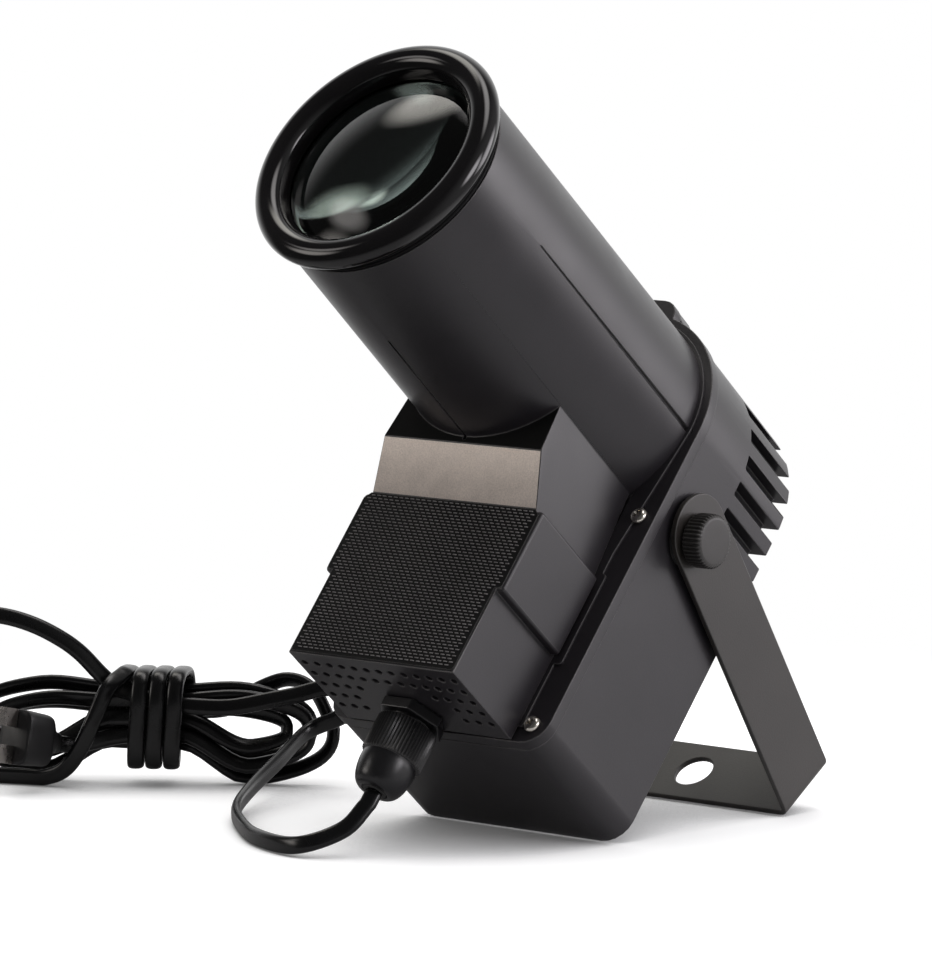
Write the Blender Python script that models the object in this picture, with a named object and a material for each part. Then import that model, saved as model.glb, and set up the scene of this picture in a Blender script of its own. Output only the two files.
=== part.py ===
"""Pinspot light: a slim stage lantern on a tilting yoke, standing as it is stored.

Units are metres, +Z is up and the floor is at z = 0. The lamp's own frame has X across it,
Y from the front glass to the back and Z up its back. The barrel's axis is that frame's Y axis,
and y = 0 is the front face of the flange that joins the two housings.
"""
import math

import bmesh
import bpy
from mathutils import Matrix, Vector

# Stance: the beam points up and forward, the rear bottom edge stands on the floor
BEAM_TILT = math.radians(40.0)
FOOTPRINT_SHIFT = -0.00124
JOIN_GAP = 0.0003
TAU = 2.0 * math.pi

# Housings
WALL = 0.0025
FLANGE_HALF_WIDTH = 0.0460
FLANGE_THICKNESS = 0.0045
HOUSING_DROP = 0.1245
HOUSING_CORNER_RADIUS = 0.0090
REAR_HALF_WIDTH = 0.0450
REAR_DEPTH = 0.0585
LUG_HALF_WIDTH = 0.0120
LUG_TOP = 0.0515
LUG_CORNER_RADIUS = 0.0070
LUG_BOSS_DEPTH = 0.0140

# Barrel and the stack of rings in its mouth
BARREL_ROOT_RADIUS = 0.0419
BARREL_TIP_RADIUS = 0.0408
BARREL_LENGTH = 0.1356
BORE_ROOT_RADIUS = 0.0390
BORE_TIP_RADIUS = 0.0382
LENS_RADIUS = 0.0364
LENS_EDGE_FRONT = 0.1403
LENS_EDGE_BACK = 0.1363
LENS_DOME_RADIUS = 0.0330
LENS_CURVE_RADIUS = 0.0750
BEZEL_APERTURE = 0.0335
BEZEL_LIP_MIDDLE = (0.0392, 0.1426)
BEZEL_LIP_HALF = (0.0050, 0.0048)
BEZEL_BACK = 0.1402
SPIGOT_RADIUS = 0.0379
SPIGOT_BORE_RADIUS = 0.0368
SPIGOT_BACK = 0.1250

# Driver box under the barrel, each corner as (distance ahead of the flange, height, half width)
BOX_TOP = (0.0488, -0.0200, 0.0313)
BOX_BROW = (0.0488, -0.0439, 0.0335)
BOX_SILL = (0.0397, -0.0609, 0.0350)
BOX_FOOT = (0.0392, -0.1245, 0.0351)
BELT_TOP = -0.0612
BELT_BOTTOM = -0.0923
BELT_HALF_WIDTH = 0.0381
BELT_REAR = -0.0020
BOX_CAVITY_TOP = -0.0445

# Cooling grooves round the back
GROOVE_COUNT = 7
GROOVE_PITCH = 0.0106
GROOVE_HEIGHT = 0.0052
GROOVE_MIDDLE = -0.0008
GROOVE_FRONT = 0.0305
GROOVE_SIDE_FLOOR = 0.0400
GROOVE_REAR_FLOOR = 0.0560
FIN_STEP = 0.0330
FIN_TOP = 0.0368
FIN_ROOM_TOP = 0.0335

# Flange screws, as (x, z)
SCREW_PLACES = {
    "right_middle": (0.0398, -0.0350),
    "left_middle": (-0.0398, -0.0350),
    "right_bottom": (0.0396, -0.1175),
    "left_bottom": (-0.0396, -0.1175),
    "top": (0.0, 0.0455),
}
SCREW_HEAD_RADIUS = 0.0030
SCREW_HEAD_HEIGHT = 0.0019
SCREW_SHANK_RADIUS = 0.0015
SCREW_SHANK_LENGTH = 0.0110
SCREW_HOLE_RADIUS = 0.0019

# Yoke, washers and thumb knobs
PIVOT = (0.0198, -0.0292)
YOKE_OUTER_HALF = 0.0486
YOKE_PLATE = 0.0020
YOKE_HALF_DEPTH = 0.0135
YOKE_OFFSET = 0.0030
YOKE_REACH = 0.1107
YOKE_BEND_RADIUS = 0.0030
YOKE_STUD_HOLE_RADIUS = 0.0034
YOKE_MOUNT_HOLE_RADIUS = 0.0070
WASHER_RADIUS = 0.0100
STUD_RADIUS = 0.0029
KNOB_RADIUS = 0.0092
KNOB_FACE_RADIUS = 0.0082
KNOB_LENGTH = 0.0078
KNOB_TEETH = 36
INSERT_RADIUS = 0.0045
INSERT_LENGTH = 0.0065
INSERT_HEAD_RADIUS = 0.0060
PIVOT_BOSS_RADIUS = 0.0080
PIVOT_BOSS_INNER = 0.0375

# Cable gland under the driver box, heights on the lamp's own Z
GLAND_Y = -0.0098
GLAND_THREAD_RADIUS = 0.0076
GLAND_BORE_RADIUS = 0.0052
GLAND_HEX_RADIUS = 0.0118
GLAND_HEX_BOTTOM = -0.1286
GLAND_THREAD_BOTTOM = -0.1390
GLAND_NUT_TOP = -0.1299
GLAND_NUT_RADIUS = 0.0103
GLAND_RIBS_BOTTOM = -0.1445
GLAND_DOME_BOTTOM = -0.1550
GLAND_MOUTH_RADIUS = 0.0046
CORD_RADIUS = 0.0022

# Cord. The hank's own frame has its length first, then across towards the lamp's front, then up.
HANK_CENTRE = Vector((-0.1500, -0.0100 + FOOTPRINT_SHIFT, 0.0195))
HANK_LENGTHWAYS = Vector((0.80, 0.60, 0.0))
HANK_ACROSS = Vector((0.60, -0.80, 0.0))
HANK_START = Vector((0.0500, 0.0086, 0.0145))
HANK_START_RUN = Vector((-0.958, 0.0, -0.287))
LEAD_ROUTE = [
    (-0.0035, -0.0830, 0.0090), (-0.0150, -0.0925, 0.0038), (-0.0380, -0.0860, 0.0030),
    (-0.0620, -0.0680, 0.0030), (-0.0790, -0.0510, 0.0038), (-0.0900, -0.0320, 0.0070),
    (-0.0970, -0.0110, 0.0130),
]
LEAD_TURN = [(0.0500, 0.0120, 0.0010), (0.0610, 0.0100, 0.0060), (0.0680, 0.0090, 0.0110), (0.0670, 0.0086, 0.0165)]
STRAY_LOOP = [
    (0.0380, 0.0084, 0.0115), (0.0240, 0.0080, 0.0086), (0.0120, 0.0078, 0.0084), (0.0, 0.0077, 0.0096),
    (-0.0075, 0.0077, 0.0113), (-0.0120, 0.0065, 0.0128), (-0.0165, 0.0051, 0.0139), (-0.0220, 0.0060, 0.0187),
    (-0.0290, 0.0068, 0.0260), (-0.0360, 0.0070, 0.0310), (-0.0455, 0.0070, 0.0356), (-0.0560, 0.0070, 0.0384),
    (-0.0680, 0.0065, 0.0388), (-0.0840, 0.0060, 0.0340), (-0.0930, 0.0060, 0.0180), (-0.0910, 0.0063, -0.0020),
    (-0.0800, 0.0070, -0.0135), (-0.0660, 0.0080, -0.0166), (-0.0520, 0.0100, -0.0169), (-0.0410, 0.0126, -0.0166),
    (-0.0330, 0.0152, -0.0130), (-0.0270, 0.0172, -0.0045), (-0.0226, 0.0170, 0.0055), (-0.0184, 0.0140, 0.0150),
]
WRAP_FIRST_TURN = 0.20
WRAP_LAST_TURN = 3.50
WRAP_PITCH = 0.0062
WRAP_START = -0.0146
WRAP_MIDDLE = (0.0025, 0.0037)
WRAP_HALF = (0.0114, 0.0160)
WRAP_SQUARENESS = 3.8
WRAP_LINK = [(0.0210, -0.0084, 0.0060), (0.0320, -0.0082, 0.0130), (0.0420, -0.0070, 0.0165), (0.0510, -0.0043, 0.0130)]
HANK_TURNS = 4
HANK_LAST_TURN = 3.25
HANK_POINTS = 24
HANK_MIDDLE = -0.0070
HANK_HALF_LENGTH = 0.0650
HANK_LENGTH_STEP = 0.0080
HANK_WAIST_HEIGHT = 0.0120
HANK_WAIST_STEP = 0.0060
HANK_END_HEIGHT = 0.0215
HANK_END_STEP = 0.0073
HANK_LAYER_STEP = 0.0056
HANK_RISE = 0.0050
HANK_CLIMB = 0.2
PLUG_RUN = [
    (-0.0140, 0.0029, -0.0028), (-0.0205, 0.0036, -0.0040), (-0.0265, 0.0052, -0.0054), (-0.0310, 0.0076, -0.0059),
]
PLUG_REAR = (-0.0362, 0.0140, -0.0044)
PLUG_TURN = math.radians(60.0)
PLUG_RISE = math.radians(12.0)
PLUG_LENGTH = 0.0240
BLADE_LENGTH = 0.0165
BLADE_SPACING = 0.0127
BLADE_WIDTH = 0.0063
BLADE_THICKNESS = 0.0015

# Inner parts
HEATSINK_RADIUS = 0.0330
HEATSINK_FRONT = 0.0280
HEATSINK_BASE_BACK = 0.0340
HEATSINK_BACK = 0.0500
BOARD_FRONT = 0.0455
BOARD_THICKNESS = 0.0016

COLOURS = {
    "housing_plastic": ((0.045, 0.043, 0.048), 0.45, 0.0),
    "gloss_plastic": ((0.012, 0.012, 0.013), 0.12, 0.0),
    "rubber": ((0.015, 0.015, 0.015), 0.75, 0.0),
    "glass": ((0.70, 0.80, 0.76), 0.02, 0.0),
    "chrome": ((0.75, 0.73, 0.70), 0.15, 1.0),
    "painted_steel": ((0.050, 0.047, 0.045), 0.5, 0.3),
    "brass": ((0.70, 0.52, 0.25), 0.3, 1.0),
    "aluminium": ((0.60, 0.61, 0.63), 0.4, 1.0),
    "cord_jacket": ((0.012, 0.012, 0.013), 0.35, 0.0),
    "board_green": ((0.03, 0.16, 0.08), 0.5, 0.0),
    "white_ceramic": ((0.80, 0.80, 0.76), 0.5, 0.0),
    "phosphor": ((0.85, 0.72, 0.15), 0.4, 0.0),
    "copper_wire_red": ((0.50, 0.03, 0.02), 0.4, 0.0),
    "copper_wire_black": ((0.02, 0.02, 0.02), 0.4, 0.0),
    "transformer_yellow": ((0.70, 0.50, 0.10), 0.5, 0.0),
    "terminal_green": ((0.05, 0.30, 0.12), 0.4, 0.0),
}


def clear_scene():
    for item in list(bpy.data.objects):
        bpy.data.objects.remove(item)


def material(name):
    found = bpy.data.materials.get(name)
    if found:
        return found
    colour, roughness, metallic = COLOURS[name]
    made = bpy.data.materials.new(name)
    made.use_nodes = True
    shader = made.node_tree.nodes["Principled BSDF"]
    shader.inputs["Base Color"].default_value = (*colour, 1.0)
    shader.inputs["Roughness"].default_value = roughness
    shader.inputs["Metallic"].default_value = metallic
    return made


def frame_empty(name, location, tilt, parent=None):
    """An empty that carries parts. The tilt turns about X."""
    empty = bpy.data.objects.new(name, None)
    empty.location = location
    empty.rotation_euler = (tilt, 0.0, 0.0)
    empty.parent = parent
    bpy.context.scene.collection.objects.link(empty)
    return empty


def add_object(name, bm, parent, material_name=None, smooth_angle=30.0):
    """Turn a bmesh into a named object with its faces pointing out."""
    bmesh.ops.recalc_face_normals(bm, faces=bm.faces)
    mesh = bpy.data.meshes.new(name)
    bm.to_mesh(mesh)
    bm.free()
    mesh.shade_smooth()
    mesh.set_sharp_from_angle(angle=math.radians(smooth_angle))
    made = bpy.data.objects.new(name, mesh)
    made.parent = parent
    bpy.context.scene.collection.objects.link(made)
    if material_name:
        mesh.materials.append(material(material_name))
    return made


def boolean(target, operation, other):
    """Join, cut or trim the target with a hidden helper object."""
    other.hide_render = True
    other.display_type = "WIRE"
    step = target.modifiers.new(operation.lower(), "BOOLEAN")
    step.operation = operation
    step.solver = "EXACT"
    step.object = other


def prism(outline, low, high, axis):
    """Extrude a closed outline of 2-D points from low to high along X, Y or Z."""
    place = {
        "X": lambda a, b, t: (t, a, b),
        "Y": lambda a, b, t: (a, t, b),
        "Z": lambda a, b, t: (a, b, t),
    }[axis]
    bm = bmesh.new()
    first = [bm.verts.new(place(a, b, low)) for a, b in outline]
    last = [bm.verts.new(place(a, b, high)) for a, b in outline]
    count = len(outline)
    bm.faces.new(first)
    bm.faces.new(reversed(last))
    for i in range(count):
        j = (i + 1) % count
        bm.faces.new((first[i], first[j], last[j], last[i]))
    return bm


def box(low, high):
    outline = [(low[0], low[1]), (high[0], low[1]), (high[0], high[1]), (low[0], high[1])]
    return prism(outline, low[2], high[2], "Z")


def turned(profile, sides, axis, centre=(0.0, 0.0, 0.0)):
    """Spin a closed profile of (radius, distance) points about an axis. Radius 0 makes a pole."""
    bm = bmesh.new()
    place = {
        "X": lambda r, a, t: (t, r * math.cos(a), r * math.sin(a)),
        "Y": lambda r, a, t: (r * math.cos(a), t, r * math.sin(a)),
        "Z": lambda r, a, t: (r * math.cos(a), r * math.sin(a), t),
    }[axis]
    rings = []
    for radius, distance in profile:
        if radius == 0.0:
            pole = bm.verts.new(Vector(place(0.0, 0.0, distance)) + Vector(centre))
            rings.append([pole] * sides)
            continue
        ring = []
        for i in range(sides):
            ring.append(bm.verts.new(Vector(place(radius, TAU * i / sides, distance)) + Vector(centre)))
        rings.append(ring)
    closed = profile[0][0] != 0.0
    count = len(rings)
    for k in range(count if closed else count - 1):
        lower = rings[k]
        upper = rings[(k + 1) % count]
        for i in range(sides):
            j = (i + 1) % sides
            corners = []
            for vert in (lower[i], lower[j], upper[j], upper[i]):
                if vert not in corners:
                    corners.append(vert)
            bm.faces.new(corners)
    return bm


def cylinder(radius, low, high, sides, axis, centre=(0.0, 0.0, 0.0)):
    return taper(radius, low, radius, high, sides, axis, centre)


def taper(first_radius, first, last_radius, last, sides, axis, centre=(0.0, 0.0, 0.0)):
    """A cylinder or cone frustum with one flat face at each end."""
    place = {
        "X": lambda r, a, t: (t, r * math.cos(a), r * math.sin(a)),
        "Y": lambda r, a, t: (r * math.cos(a), t, r * math.sin(a)),
        "Z": lambda r, a, t: (r * math.cos(a), r * math.sin(a), t),
    }[axis]
    bm = bmesh.new()
    rings = []
    for radius, distance in ((first_radius, first), (last_radius, last)):
        points = [Vector(place(radius, TAU * i / sides, distance)) + Vector(centre) for i in range(sides)]
        rings.append([bm.verts.new(point) for point in points])
    bm.faces.new(rings[0])
    bm.faces.new(reversed(rings[1]))
    for i in range(sides):
        j = (i + 1) % sides
        bm.faces.new((rings[0][i], rings[0][j], rings[1][j], rings[1][i]))
    return bm


def arc(centre, radius, start, stop, steps):
    """Points on an arc, angles in degrees, both ends included."""
    points = []
    for i in range(steps + 1):
        angle = math.radians(start + (stop - start) * i / steps)
        points.append((centre[0] + radius * math.cos(angle), centre[1] + radius * math.sin(angle)))
    return points


def arch_outline(half_width, drop, corner, steps=40):
    """A round-topped door shape about the barrel's axis, in X and Z."""
    points = arc((0.0, 0.0), half_width, 0.0, 180.0, steps)
    points += arc((-half_width + corner, -drop + corner), corner, 180.0, 270.0, 5)
    points += arc((half_width - corner, -drop + corner), corner, 270.0, 360.0, 5)
    return points


def arch_with_lug(half_width, drop, corner):
    """The same door shape with a rounded tab for the top screw."""
    meet = math.degrees(math.acos(LUG_HALF_WIDTH / half_width))
    inner = LUG_HALF_WIDTH - LUG_CORNER_RADIUS
    height = LUG_TOP - LUG_CORNER_RADIUS
    points = arc((0.0, 0.0), half_width, 0.0, meet, 16)
    points += arc((inner, height), LUG_CORNER_RADIUS, 5.0, 90.0, 5)
    points += arc((-inner, height), LUG_CORNER_RADIUS, 90.0, 175.0, 5)
    points += arc((0.0, 0.0), half_width, 180.0 - meet, 180.0, 16)
    points += arc((-half_width + corner, -drop + corner), corner, 180.0, 270.0, 5)
    points += arc((half_width - corner, -drop + corner), corner, 270.0, 360.0, 5)
    return points


def tapered_box():
    """The driver box's outer body: a side outline whose half width changes with height."""
    corners = [(0.001, BOX_TOP[1], BOX_TOP[2]), BOX_TOP, BOX_BROW, BOX_SILL, BOX_FOOT]
    corners.append((0.001, BOX_FOOT[1], BOX_FOOT[2]))
    bm = bmesh.new()
    left = [bm.verts.new((-half, -ahead, height)) for ahead, height, half in corners]
    right = [bm.verts.new((half, -ahead, height)) for ahead, height, half in corners]
    back_left = bm.verts.new((-BOX_SILL[2], -0.001, BOX_SILL[1]))
    back_right = bm.verts.new((BOX_SILL[2], -0.001, BOX_SILL[1]))
    for i in range(4):
        bm.faces.new((left[i], left[i + 1], right[i + 1], right[i]))
    bm.faces.new((left[4], left[5], right[5], right[4]))
    bm.faces.new((left[5], back_left, back_right, right[5]))
    bm.faces.new((back_left, left[0], right[0], back_right))
    for side, back in ((left, back_left), (right, back_right)):
        bm.faces.new((side[0], side[1], side[2], side[3], back))
        bm.faces.new((back, side[3], side[4], side[5]))
    return bm


def front_housing(lamp):
    outline = arch_with_lug(FLANGE_HALF_WIDTH, HOUSING_DROP, HOUSING_CORNER_RADIUS)
    body = add_object("front_housing", prism(outline, 0.0, FLANGE_THICKNESS, "Y"), lamp, "housing_plastic")
    barrel = taper(BARREL_ROOT_RADIUS, 0.001, BARREL_TIP_RADIUS, -BARREL_LENGTH, 64, "Y")
    boolean(body, "UNION", add_object("barrel_form", barrel, lamp))
    boolean(body, "UNION", add_object("box_form", tapered_box(), lamp))
    belt = box((-BELT_HALF_WIDTH, -BOX_SILL[0] + 0.00005, BELT_BOTTOM), (BELT_HALF_WIDTH, BELT_REAR, BELT_TOP))
    belt_form = add_object("belt_form", belt, lamp)
    rounding = belt_form.modifiers.new("rounding", "BEVEL")
    rounding.width = 0.0012
    rounding.segments = 2
    boolean(body, "UNION", belt_form)
    bore = taper(BORE_ROOT_RADIUS, 0.010, BORE_TIP_RADIUS, -BARREL_LENGTH - 0.002, 64, "Y")
    boolean(body, "DIFFERENCE", add_object("bore_cutter", bore, lamp))
    inside = [
        (0.010, BOX_CAVITY_TOP),
        (-BOX_BROW[0] + WALL, BOX_CAVITY_TOP),
        (-BOX_BROW[0] + WALL, BOX_BROW[1] - 0.0012),
        (-BOX_SILL[0] + WALL, BOX_SILL[1] - 0.0010),
        (-BOX_FOOT[0] + WALL, BOX_FOOT[1] + WALL),
        (0.010, BOX_FOOT[1] + WALL),
    ]
    half = BOX_BROW[2] - WALL
    boolean(body, "DIFFERENCE", add_object("box_cutter", prism(inside, -half, half, "X"), lamp))
    hole = cylinder(GLAND_THREAD_RADIUS + 0.0005, -0.130, -0.118, 24, "Z", (0.0, GLAND_Y, 0.0))
    boolean(body, "DIFFERENCE", add_object("gland_hole_cutter", hole, lamp))
    for place, (x, z) in SCREW_PLACES.items():
        hole = cylinder(SCREW_HOLE_RADIUS, -0.002, 0.008, 12, "Y", (x, 0.0, z))
        boolean(body, "DIFFERENCE", add_object("flange_hole_cutter_" + place, hole, lamp))
    return body


def rear_housing(lamp):
    start = FLANGE_THICKNESS + JOIN_GAP
    outline = arch_outline(REAR_HALF_WIDTH, HOUSING_DROP, HOUSING_CORNER_RADIUS)
    body = add_object("rear_housing", prism(outline, start, REAR_DEPTH, "Y"), lamp, "housing_plastic")
    lug = [(-LUG_HALF_WIDTH, 0.030), (LUG_HALF_WIDTH, 0.030), (LUG_HALF_WIDTH, LUG_TOP - 0.005)]
    lug += [(LUG_HALF_WIDTH - 0.005, LUG_TOP), (-LUG_HALF_WIDTH + 0.005, LUG_TOP)]
    lug += [(-LUG_HALF_WIDTH, LUG_TOP - 0.005)]
    boolean(body, "UNION", add_object("lug_form", prism(lug, start, LUG_BOSS_DEPTH, "Y"), lamp))
    front_room = arch_outline(REAR_HALF_WIDTH - WALL, HOUSING_DROP - WALL, HOUSING_CORNER_RADIUS - WALL, 32)
    cut = add_object("front_room_cutter", prism(front_room, start - 0.003, GROOVE_FRONT - WALL, "Y"), lamp)
    boolean(body, "DIFFERENCE", cut)
    fin_half = GROOVE_SIDE_FLOOR - WALL
    shoulder = math.degrees(math.asin(FIN_ROOM_TOP / fin_half))
    upper = arc((0.0, 0.0), fin_half, 0.0, shoulder, 10)
    upper += arc((0.0, 0.0), fin_half, 180.0 - shoulder, 180.0, 10)
    upper += [(-fin_half, -0.0500), (fin_half, -0.0500)]
    cut = add_object("fin_room_cutter", prism(upper, 0.0200, GROOVE_REAR_FLOOR - WALL, "Y"), lamp)
    boolean(body, "DIFFERENCE", cut)
    half = REAR_HALF_WIDTH - WALL
    lower = box((-half, 0.0190, -HOUSING_DROP + WALL + 0.003), (half, REAR_DEPTH - WALL, -0.0440))
    boolean(body, "DIFFERENCE", add_object("lower_room_cutter", lower, lamp))
    step = box((-0.050, FIN_STEP, FIN_TOP), (0.050, 0.070, 0.060))
    boolean(body, "DIFFERENCE", add_object("fin_step_cutter", step, lamp))
    for k in range(GROOVE_COUNT):
        middle = GROOVE_MIDDLE + GROOVE_PITCH * (k - (GROOVE_COUNT - 1) / 2)
        low = middle - GROOVE_HEIGHT / 2
        high = middle + GROOVE_HEIGHT / 2
        side = math.sqrt(GROOVE_SIDE_FLOOR ** 2 - max(middle, 0.0) ** 2)
        floor = [
            (-0.060, GROOVE_FRONT),
            (-side, GROOVE_FRONT),
            (-side, GROOVE_REAR_FLOOR),
            (side, GROOVE_REAR_FLOOR),
            (side, GROOVE_FRONT),
            (0.060, GROOVE_FRONT),
            (0.060, 0.070),
            (-0.060, 0.070),
        ]
        cut = add_object("groove_cutter_%d" % (k + 1), prism(floor, low, high, "Z"), lamp)
        boolean(body, "DIFFERENCE", cut)
    add_rear_bosses(body, lamp, start)
    return body


def add_rear_bosses(body, lamp, start):
    """Screw bosses behind the flange, posts for the board and heat sink, and the pivot bosses."""
    for place, (x, z) in SCREW_PLACES.items():
        if place != "top":
            post = cylinder(0.0036, start, 0.0136, 12, "Y", (x, 0.0, z))
            boolean(body, "UNION", add_object("boss_form_" + place, post, lamp))
        hole = cylinder(SCREW_SHANK_RADIUS + JOIN_GAP, 0.0, 0.0122, 12, "Y", (x, 0.0, z))
        boolean(body, "DIFFERENCE", add_object("boss_hole_cutter_" + place, hole, lamp))
    for side in (-1, 1):
        low, high = sorted((side * PIVOT_BOSS_INNER, side * (REAR_HALF_WIDTH - 0.001)))
        post = cylinder(PIVOT_BOSS_RADIUS, low, high, 24, "X", (0.0, PIVOT[0], PIVOT[1]))
        boolean(body, "UNION", add_object("pivot_boss_form_%+d" % side, post, lamp))
        low, high = sorted((side * 0.030, side * 0.050))
        hole = cylinder(INSERT_RADIUS + JOIN_GAP, low, high, 24, "X", (0.0, PIVOT[0], PIVOT[1]))
        boolean(body, "DIFFERENCE", add_object("pivot_hole_cutter_%+d" % side, hole, lamp))
        post = cylinder(0.0035, HEATSINK_BASE_BACK + JOIN_GAP, REAR_DEPTH - 0.0030, 12, "Y", (side * 0.0270, 0.0, 0.0))
        boolean(body, "UNION", add_object("heatsink_post_form_%+d" % side, post, lamp))
        hole = cylinder(0.0013, 0.030, 0.0480, 8, "Y", (side * 0.0270, 0.0, 0.0))
        boolean(body, "DIFFERENCE", add_object("heatsink_post_cutter_%+d" % side, hole, lamp))
        for height in (-0.0620, -0.1100):
            tag = "%+d_%d" % (side, round(-height * 1000))
            back = BOARD_FRONT + BOARD_THICKNESS + JOIN_GAP
            post = cylinder(0.0035, back, REAR_DEPTH - 0.0010, 12, "Y", (side * 0.0300, 0.0, height))
            boolean(body, "UNION", add_object("board_post_form_" + tag, post, lamp))
            hole = cylinder(0.0012, back - 0.002, back + 0.0065, 8, "Y", (side * 0.0300, 0.0, height))
            boolean(body, "DIFFERENCE", add_object("board_post_cutter_" + tag, hole, lamp))


def mouth_rings(lamp):
    """Bezel, gasket, lens and retainer in the barrel's mouth."""
    bezel = [(BEZEL_APERTURE, -LENS_EDGE_FRONT), (BEZEL_APERTURE, -LENS_EDGE_FRONT - 0.0012)]
    for k in range(9):
        angle = math.radians(170.0 - 21.25 * k)
        radius = BEZEL_LIP_MIDDLE[0] + BEZEL_LIP_HALF[0] * math.cos(angle)
        bezel.append((radius, -BEZEL_LIP_MIDDLE[1] - BEZEL_LIP_HALF[1] * math.sin(angle)))
    bezel += [(0.0439, -BEZEL_BACK - 0.0010), (0.0428, -BEZEL_BACK), (SPIGOT_RADIUS, -BEZEL_BACK)]
    bezel += [(SPIGOT_RADIUS, -SPIGOT_BACK), (SPIGOT_BORE_RADIUS, -SPIGOT_BACK), (SPIGOT_BORE_RADIUS, -LENS_EDGE_FRONT)]
    add_object("bezel_ring", turned(bezel, 52, "Y"), lamp, "gloss_plastic", 45.0)
    bore = SPIGOT_RADIUS + 0.0005
    back = BARREL_LENGTH + JOIN_GAP
    front = BEZEL_BACK - JOIN_GAP
    gasket = [(bore, -back), (0.0405, -back), (0.0409, -(back + front) / 2), (0.0405, -front), (bore, -front)]
    add_object("lens_gasket", turned(gasket, 48, "Y"), lamp, "rubber")
    centre = LENS_EDGE_FRONT - JOIN_GAP - math.sqrt(LENS_CURVE_RADIUS ** 2 - LENS_DOME_RADIUS ** 2)
    lens = [(0.0, -LENS_EDGE_BACK), (LENS_RADIUS, -LENS_EDGE_BACK), (LENS_RADIUS, -LENS_EDGE_FRONT + JOIN_GAP)]
    for k in range(7, 0, -1):
        radius = LENS_DOME_RADIUS * k / 7
        lens.append((radius, -centre - math.sqrt(LENS_CURVE_RADIUS ** 2 - radius ** 2)))
    lens.append((0.0, -centre - LENS_CURVE_RADIUS))
    add_object("front_lens", turned(lens, 48, "Y"), lamp, "glass")
    stop = LENS_EDGE_BACK - JOIN_GAP
    retainer = [(0.0340, -stop + 0.0039), (LENS_RADIUS, -stop + 0.0039), (LENS_RADIUS, -stop), (0.0340, -stop)]
    add_object("lens_retainer", turned(retainer, 48, "Y"), lamp, "gloss_plastic")


def flange_screws(lamp):
    """Pan-head cross screws. All five share one shape."""
    head = SCREW_HEAD_RADIUS
    top = -JOIN_GAP - SCREW_HEAD_HEIGHT
    profile = [
        (0.0, top), (head * 0.55, top + 0.0001), (head * 0.85, top + 0.0006), (head, -JOIN_GAP - 0.0006),
        (head, -JOIN_GAP), (SCREW_SHANK_RADIUS, -JOIN_GAP), (SCREW_SHANK_RADIUS, SCREW_SHANK_LENGTH - 0.002),
        (0.0, SCREW_SHANK_LENGTH - 0.001),
    ]
    for place, (x, z) in SCREW_PLACES.items():
        screw = add_object("flange_screw_" + place, turned(profile, 12, "Y"), lamp, "chrome", 40.0)
        screw.location = (x, 0.0, z)
        for turn in (20.0, 110.0):
            slot = box((-0.0017, top - 0.001, -0.0003), (0.0017, top + 0.0009, 0.0003))
            bmesh.ops.rotate(slot, verts=slot.verts, matrix=Matrix.Rotation(math.radians(turn), 3, "Y"))
            cut = add_object("cross_cutter_%s_%d" % (place, turn), slot, lamp)
            cut.location = screw.location
            boolean(screw, "DIFFERENCE", cut)


def yoke_outline():
    """The bent bar's section across the lamp, in X and Z from the pivot, inner edge last."""
    outer = YOKE_OUTER_HALF
    inner = outer - YOKE_PLATE
    bend = YOKE_BEND_RADIUS
    fold = bend - YOKE_PLATE
    foot = -YOKE_REACH
    points = [(outer, YOKE_HALF_DEPTH)]
    points += arc((outer - bend, foot + bend), bend, 0.0, -90.0, 4)
    points += arc((-outer + bend, foot + bend), bend, 270.0, 180.0, 4)
    points += [(-outer, YOKE_HALF_DEPTH), (-inner, YOKE_HALF_DEPTH)]
    points += arc((-outer + bend, foot + bend), fold, 180.0, 270.0, 3)
    points += arc((outer - bend, foot + bend), fold, -90.0, 0.0, 3)
    points += [(inner, YOKE_HALF_DEPTH)]
    return points


def yoke(pivot):
    front = YOKE_OFFSET - YOKE_HALF_DEPTH
    back = YOKE_OFFSET + YOKE_HALF_DEPTH
    bar = prism(yoke_outline(), front, back, "Y")
    body = add_object("yoke", bar, pivot, "painted_steel")
    arm = arc((YOKE_OFFSET, 0.0), YOKE_HALF_DEPTH, 0.0, 180.0, 18)
    arm += [(front, -YOKE_REACH - 0.001), (back, -YOKE_REACH - 0.001)]
    boolean(body, "INTERSECT", add_object("arm_outline_form", prism(arm, -0.055, 0.055, "X"), pivot))
    boolean(body, "DIFFERENCE", add_object("stud_hole_cutter", cylinder(YOKE_STUD_HOLE_RADIUS, -0.055, 0.055, 24, "X"), pivot))
    middle = (0.0, YOKE_OFFSET, 0.0)
    hole = cylinder(YOKE_MOUNT_HOLE_RADIUS, -YOKE_REACH - 0.005, -YOKE_REACH + 0.010, 32, "Z", middle)
    boolean(body, "DIFFERENCE", add_object("mount_hole_cutter", hole, pivot))


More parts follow.
